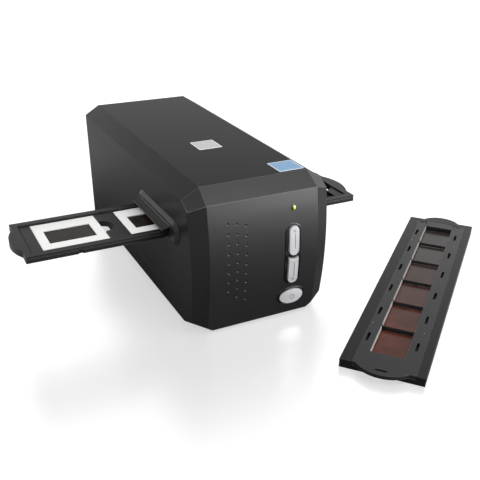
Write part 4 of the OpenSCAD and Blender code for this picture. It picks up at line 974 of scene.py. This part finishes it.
class SCANNER_OT_strip_details(bpy.types.Operator):
    """Adds a pale strip along one inner wall of each window of the strip lid, a painted highlight
    that stands in for the lit wall, and the lid's four rivet heads
    """

    bl_idname = "scanner.strip_details"
    bl_label = "Strip lid details"

    def execute(self, context):
        # Painted highlight: pale plates on one inner wall of each window, standing in for the lit
        # wall
        pale = moulded("highlight_strip_plastic", (0.20, 0.20, 0.20), rough=0.45, lift=0.1)
        thick = sizes().highlight_strip_t
        sheet = plate_surface(WINDOW_L - 0.0004, thick, 0.0001, LID_TOP - LID_LOW - 0.0002, 0.0001)
        parts = []
        for x in (np.arange(FRAMES) - (FRAMES - 1) / 2) * FRAME_PITCH:
            grid = sheet + np.array([x, (WINDOW_W - thick) / 2 - 0.00002, LID_LOW])
            parts.append((on_strip(grid), True, False, True))
        place(joined("window_highlight_strip", parts, smooth=False), "strip_cover", "hood_grey", pale)
        head = [(0.00001, 0.00032), (0.0004, 0.00028), (0.0007, 0.00016), (0.0008, 0.0),
                (0.0008, -0.0002), (0.00001, -0.0002)]
        parts = []
        for x in (-1, 1):
            for y in (-1, 1):
                grid = lathe_surface(head, (x * RIVET_X, y * RIVET_Y, LID_TOP), 20)
                parts.append((on_strip(grid), True, False, True))
        place(joined("lid_rivets", parts), "strip_cover", "steel",
              metal("rivet_steel", (0.13, 0.13, 0.135), rough=0.35))
        return {"FINISHED"}


class SCANNER_OT_holders(bpy.types.Operator):
    """Finishes the slide holder and the film strip holder"""

    bl_idname = "scanner.holders"
    bl_label = "Holders"

    def execute(self, context):
        f = finishes()
        # Painted highlight: lift 5 makes the holders' upper soft edges six times lighter
        holder = moulded("holder_plastic", f.holder, rough=0.38, edge=0.0005, lift=5.0, cloud=0.0,
                         top=0.12)
        dress("slide_holder", holder)
        dress("strip_base", holder)
        dress("strip_lid", lid_finish())
        dress("slide_mounts", paper("mount_card", tuple(f.mount), 0.45, sizes().edge_soft / 2))
        dress("slide_films", film_finish("slide_film", f.slide, (0.018, 0.014, 0.012), 90.0,
                                          0.07))
        self.film()
        return {"FINISHED"}

    def film(self):
        """The film strip with its holes, in the place of the plain one."""
        s = sizes()
        low, high = BOX["film_strip"]
        verts, faces = film_sheet(s.hole_pitch, s.hole_l, s.hole_w, low[2], high[2])
        piece = mesh_piece("film_strip_sheet", on_strip(verts), faces, smooth=False)
        outward(piece)
        place(piece, "strip_tray", "film_red", negative_strip(), "film_strip")


class SCANNER_OT_labels(bpy.types.Operator):
    """Adds the two plain labels on the top, with round corners"""

    bl_idname = "scanner.labels"
    bl_label = "Labels"

    def execute(self, context):
        f = finishes()
        for node, slot, rgb in (
            ("white_label", "label_white", f.white_label),
            ("blue_label", "label_blue", f.blue_label),
        ):
            size = span(node)
            low = np.array(BOX[node][0])
            grid = plate_surface(size[0], size[1], sizes().label_round, size[2], 0.00006)
            grid = grid + [*middle(node)[:2], low[2]]
            piece = joined(node + "_sheet", [(grid, True, False, True)], smooth=False)
            place(piece, "case", slot, self.printed(node, tuple(rgb)), node)
        return {"FINISHED"}

    def printed(self, node, rgb):
        """Label sheet with its colour inside a paler margin."""
        material = paper(node + "_paper", rgb, 0.4)
        w = Wires(material.node_tree)
        shader = next(n for n in w.tree.nodes if n.type == "BSDF_PRINCIPLED")
        split = w.add("ShaderNodeSeparateXYZ", {
            "Vector": w.add("ShaderNodeTexCoord").outputs["Object"]})
        centre, half = middle(node), span(node) / 2 - sizes().label_margin
        sides = []
        for axis in (0, 1):
            off = w.math("ABSOLUTE", w.math("SUBTRACT", split.outputs[axis], float(centre[axis])))
            sides.append(w.band(w.math("SUBTRACT", off, float(half[axis])), -0.0001, 0.0001))
        margin = w.math("MAXIMUM", *sides)
        inner = shader.inputs["Base Color"].links[0].from_socket
        pale = tuple(0.45 + 0.35 * c for c in rgb)
        w.set(shader.inputs["Base Color"], w.mix(margin, inner, pale))
        return material


class SCANNER_OT_inside(bpy.types.Operator):
    """Finishes the chassis, drive, optics and boards"""

    bl_idname = "scanner.inside"
    bl_label = "Inside"

    def execute(self, context):
        f = finishes()
        chassis = metal("chassis_steel", f.metal, rough=0.38, brushed=(1.0, 0.05, 1.0))
        for node in ("chassis_plate", "motor_bracket", "detent_spring", "usb_port",
                     "stepper_motor"):
            dress(node, chassis)
        rods = metal("ground_steel", (0.66, 0.67, 0.69), rough=0.16, brushed=(1.0, 0.02, 1.0))
        dress("guide_rods", rods)
        low, high = BOX["lead_screw"]
        thread = screw_surface(low[1], high[1], sizes().thread_lead, sizes().thread_depth)
        thread = thread + middle("lead_screw") * np.array([1, 0, 1])
        place(joined("lead_screw_thread", [(thread, True, False, True)]), "screw", "steel", rods,
              "lead_screw")
        # Painted highlight: the moulded finishes below with a soft edge lighten their upper edges a
        # little
        black = moulded("component_plastic", (0.014, 0.014, 0.015), rough=0.45, edge=0.0003)
        for node in ("rod_clamps", "screw_bearing", "home_sensor", "scan_carriage", "lamp_arm",
                     "front_switches", "board_parts", "power_jack", "image_sensor"):
            dress(node, black)
        dress("lens_barrel", moulded("anodised_black", (0.01, 0.01, 0.011), rough=0.3,
                                     edge=0.0003, specular=0.7))
        dress("lens_clamp", metal("cast_metal", (0.3, 0.3, 0.31), rough=0.5, bump=0.3, scale=500))
        dress("lens_glass", clear_glass("coated_glass", (0.55, 0.45, 0.75)))
        dress("fold_mirror", metal("mirror_glass", (0.9, 0.92, 0.94), rough=0.06, bump=0.0))
        dress("carriage_bushings", metal("sintered_bronze", (0.55, 0.36, 0.14), rough=0.4,
                                         bump=0.2))
        dress("drive_nut", moulded("nylon", (0.74, 0.71, 0.62), rough=0.4, lift=0.1, edge=0.0003))
        lamp = moulded("lamp_white_plastic", (0.85, 0.86, 0.84), rough=0.35, lift=0.05, edge=0.0003)
        dress("lamp_board", lamp)
        dress("lamp_diffuser", lamp)
        board = circuit("circuit_board", tuple(f.board))
        for node in ("main_board", "front_board", "sensor_board"):
            dress(node, board)
        dress("rubber_feet", moulded("foot_rubber", f.rubber, rough=0.75, bump=0.2,
                                     specular=0.2, edge=sizes().foot_round))
        return {"FINISHED"}


class SCANNER_PT_panel(bpy.types.Panel):
    """Lists the pieces in the sidebar"""

    bl_idname = "SCANNER_PT_panel"
    bl_label = "Film scanner"
    bl_space_type = "VIEW_3D"
    bl_region_type = "UI"
    bl_category = "Scanner"

    def draw(self, context):
        layout = self.layout
        for operator in OPERATORS:
            layout.operator(operator.bl_idname)
        for group in (context.scene.scanner_sizes, context.scene.scanner_finishes):
            box = layout.box()
            for key in group.__annotations__:
                box.prop(group, key)


OPERATORS = (
    SCANNER_OT_stage, SCANNER_OT_case, SCANNER_OT_controls, SCANNER_OT_key_marks,
    SCANNER_OT_labels, SCANNER_OT_holders, SCANNER_OT_strip_details, SCANNER_OT_inside,
)
CLASSES = (ScannerSizes, ScannerFinishes, *OPERATORS, SCANNER_PT_panel)


def register():
    for cls in CLASSES:
        bpy.utils.register_class(cls)
    bpy.types.Scene.scanner_sizes = PointerProperty(type=ScannerSizes)
    bpy.types.Scene.scanner_finishes = PointerProperty(type=ScannerFinishes)


def unregister():
    del bpy.types.Scene.scanner_sizes
    del bpy.types.Scene.scanner_finishes
    for cls in reversed(CLASSES):
        bpy.utils.unregister_class(cls)


def main():
    register()
    for operator in OPERATORS:
        group, name = operator.bl_idname.split(".")
        getattr(getattr(bpy.ops, group), name)()


if __name__ == "__main__":
    main()
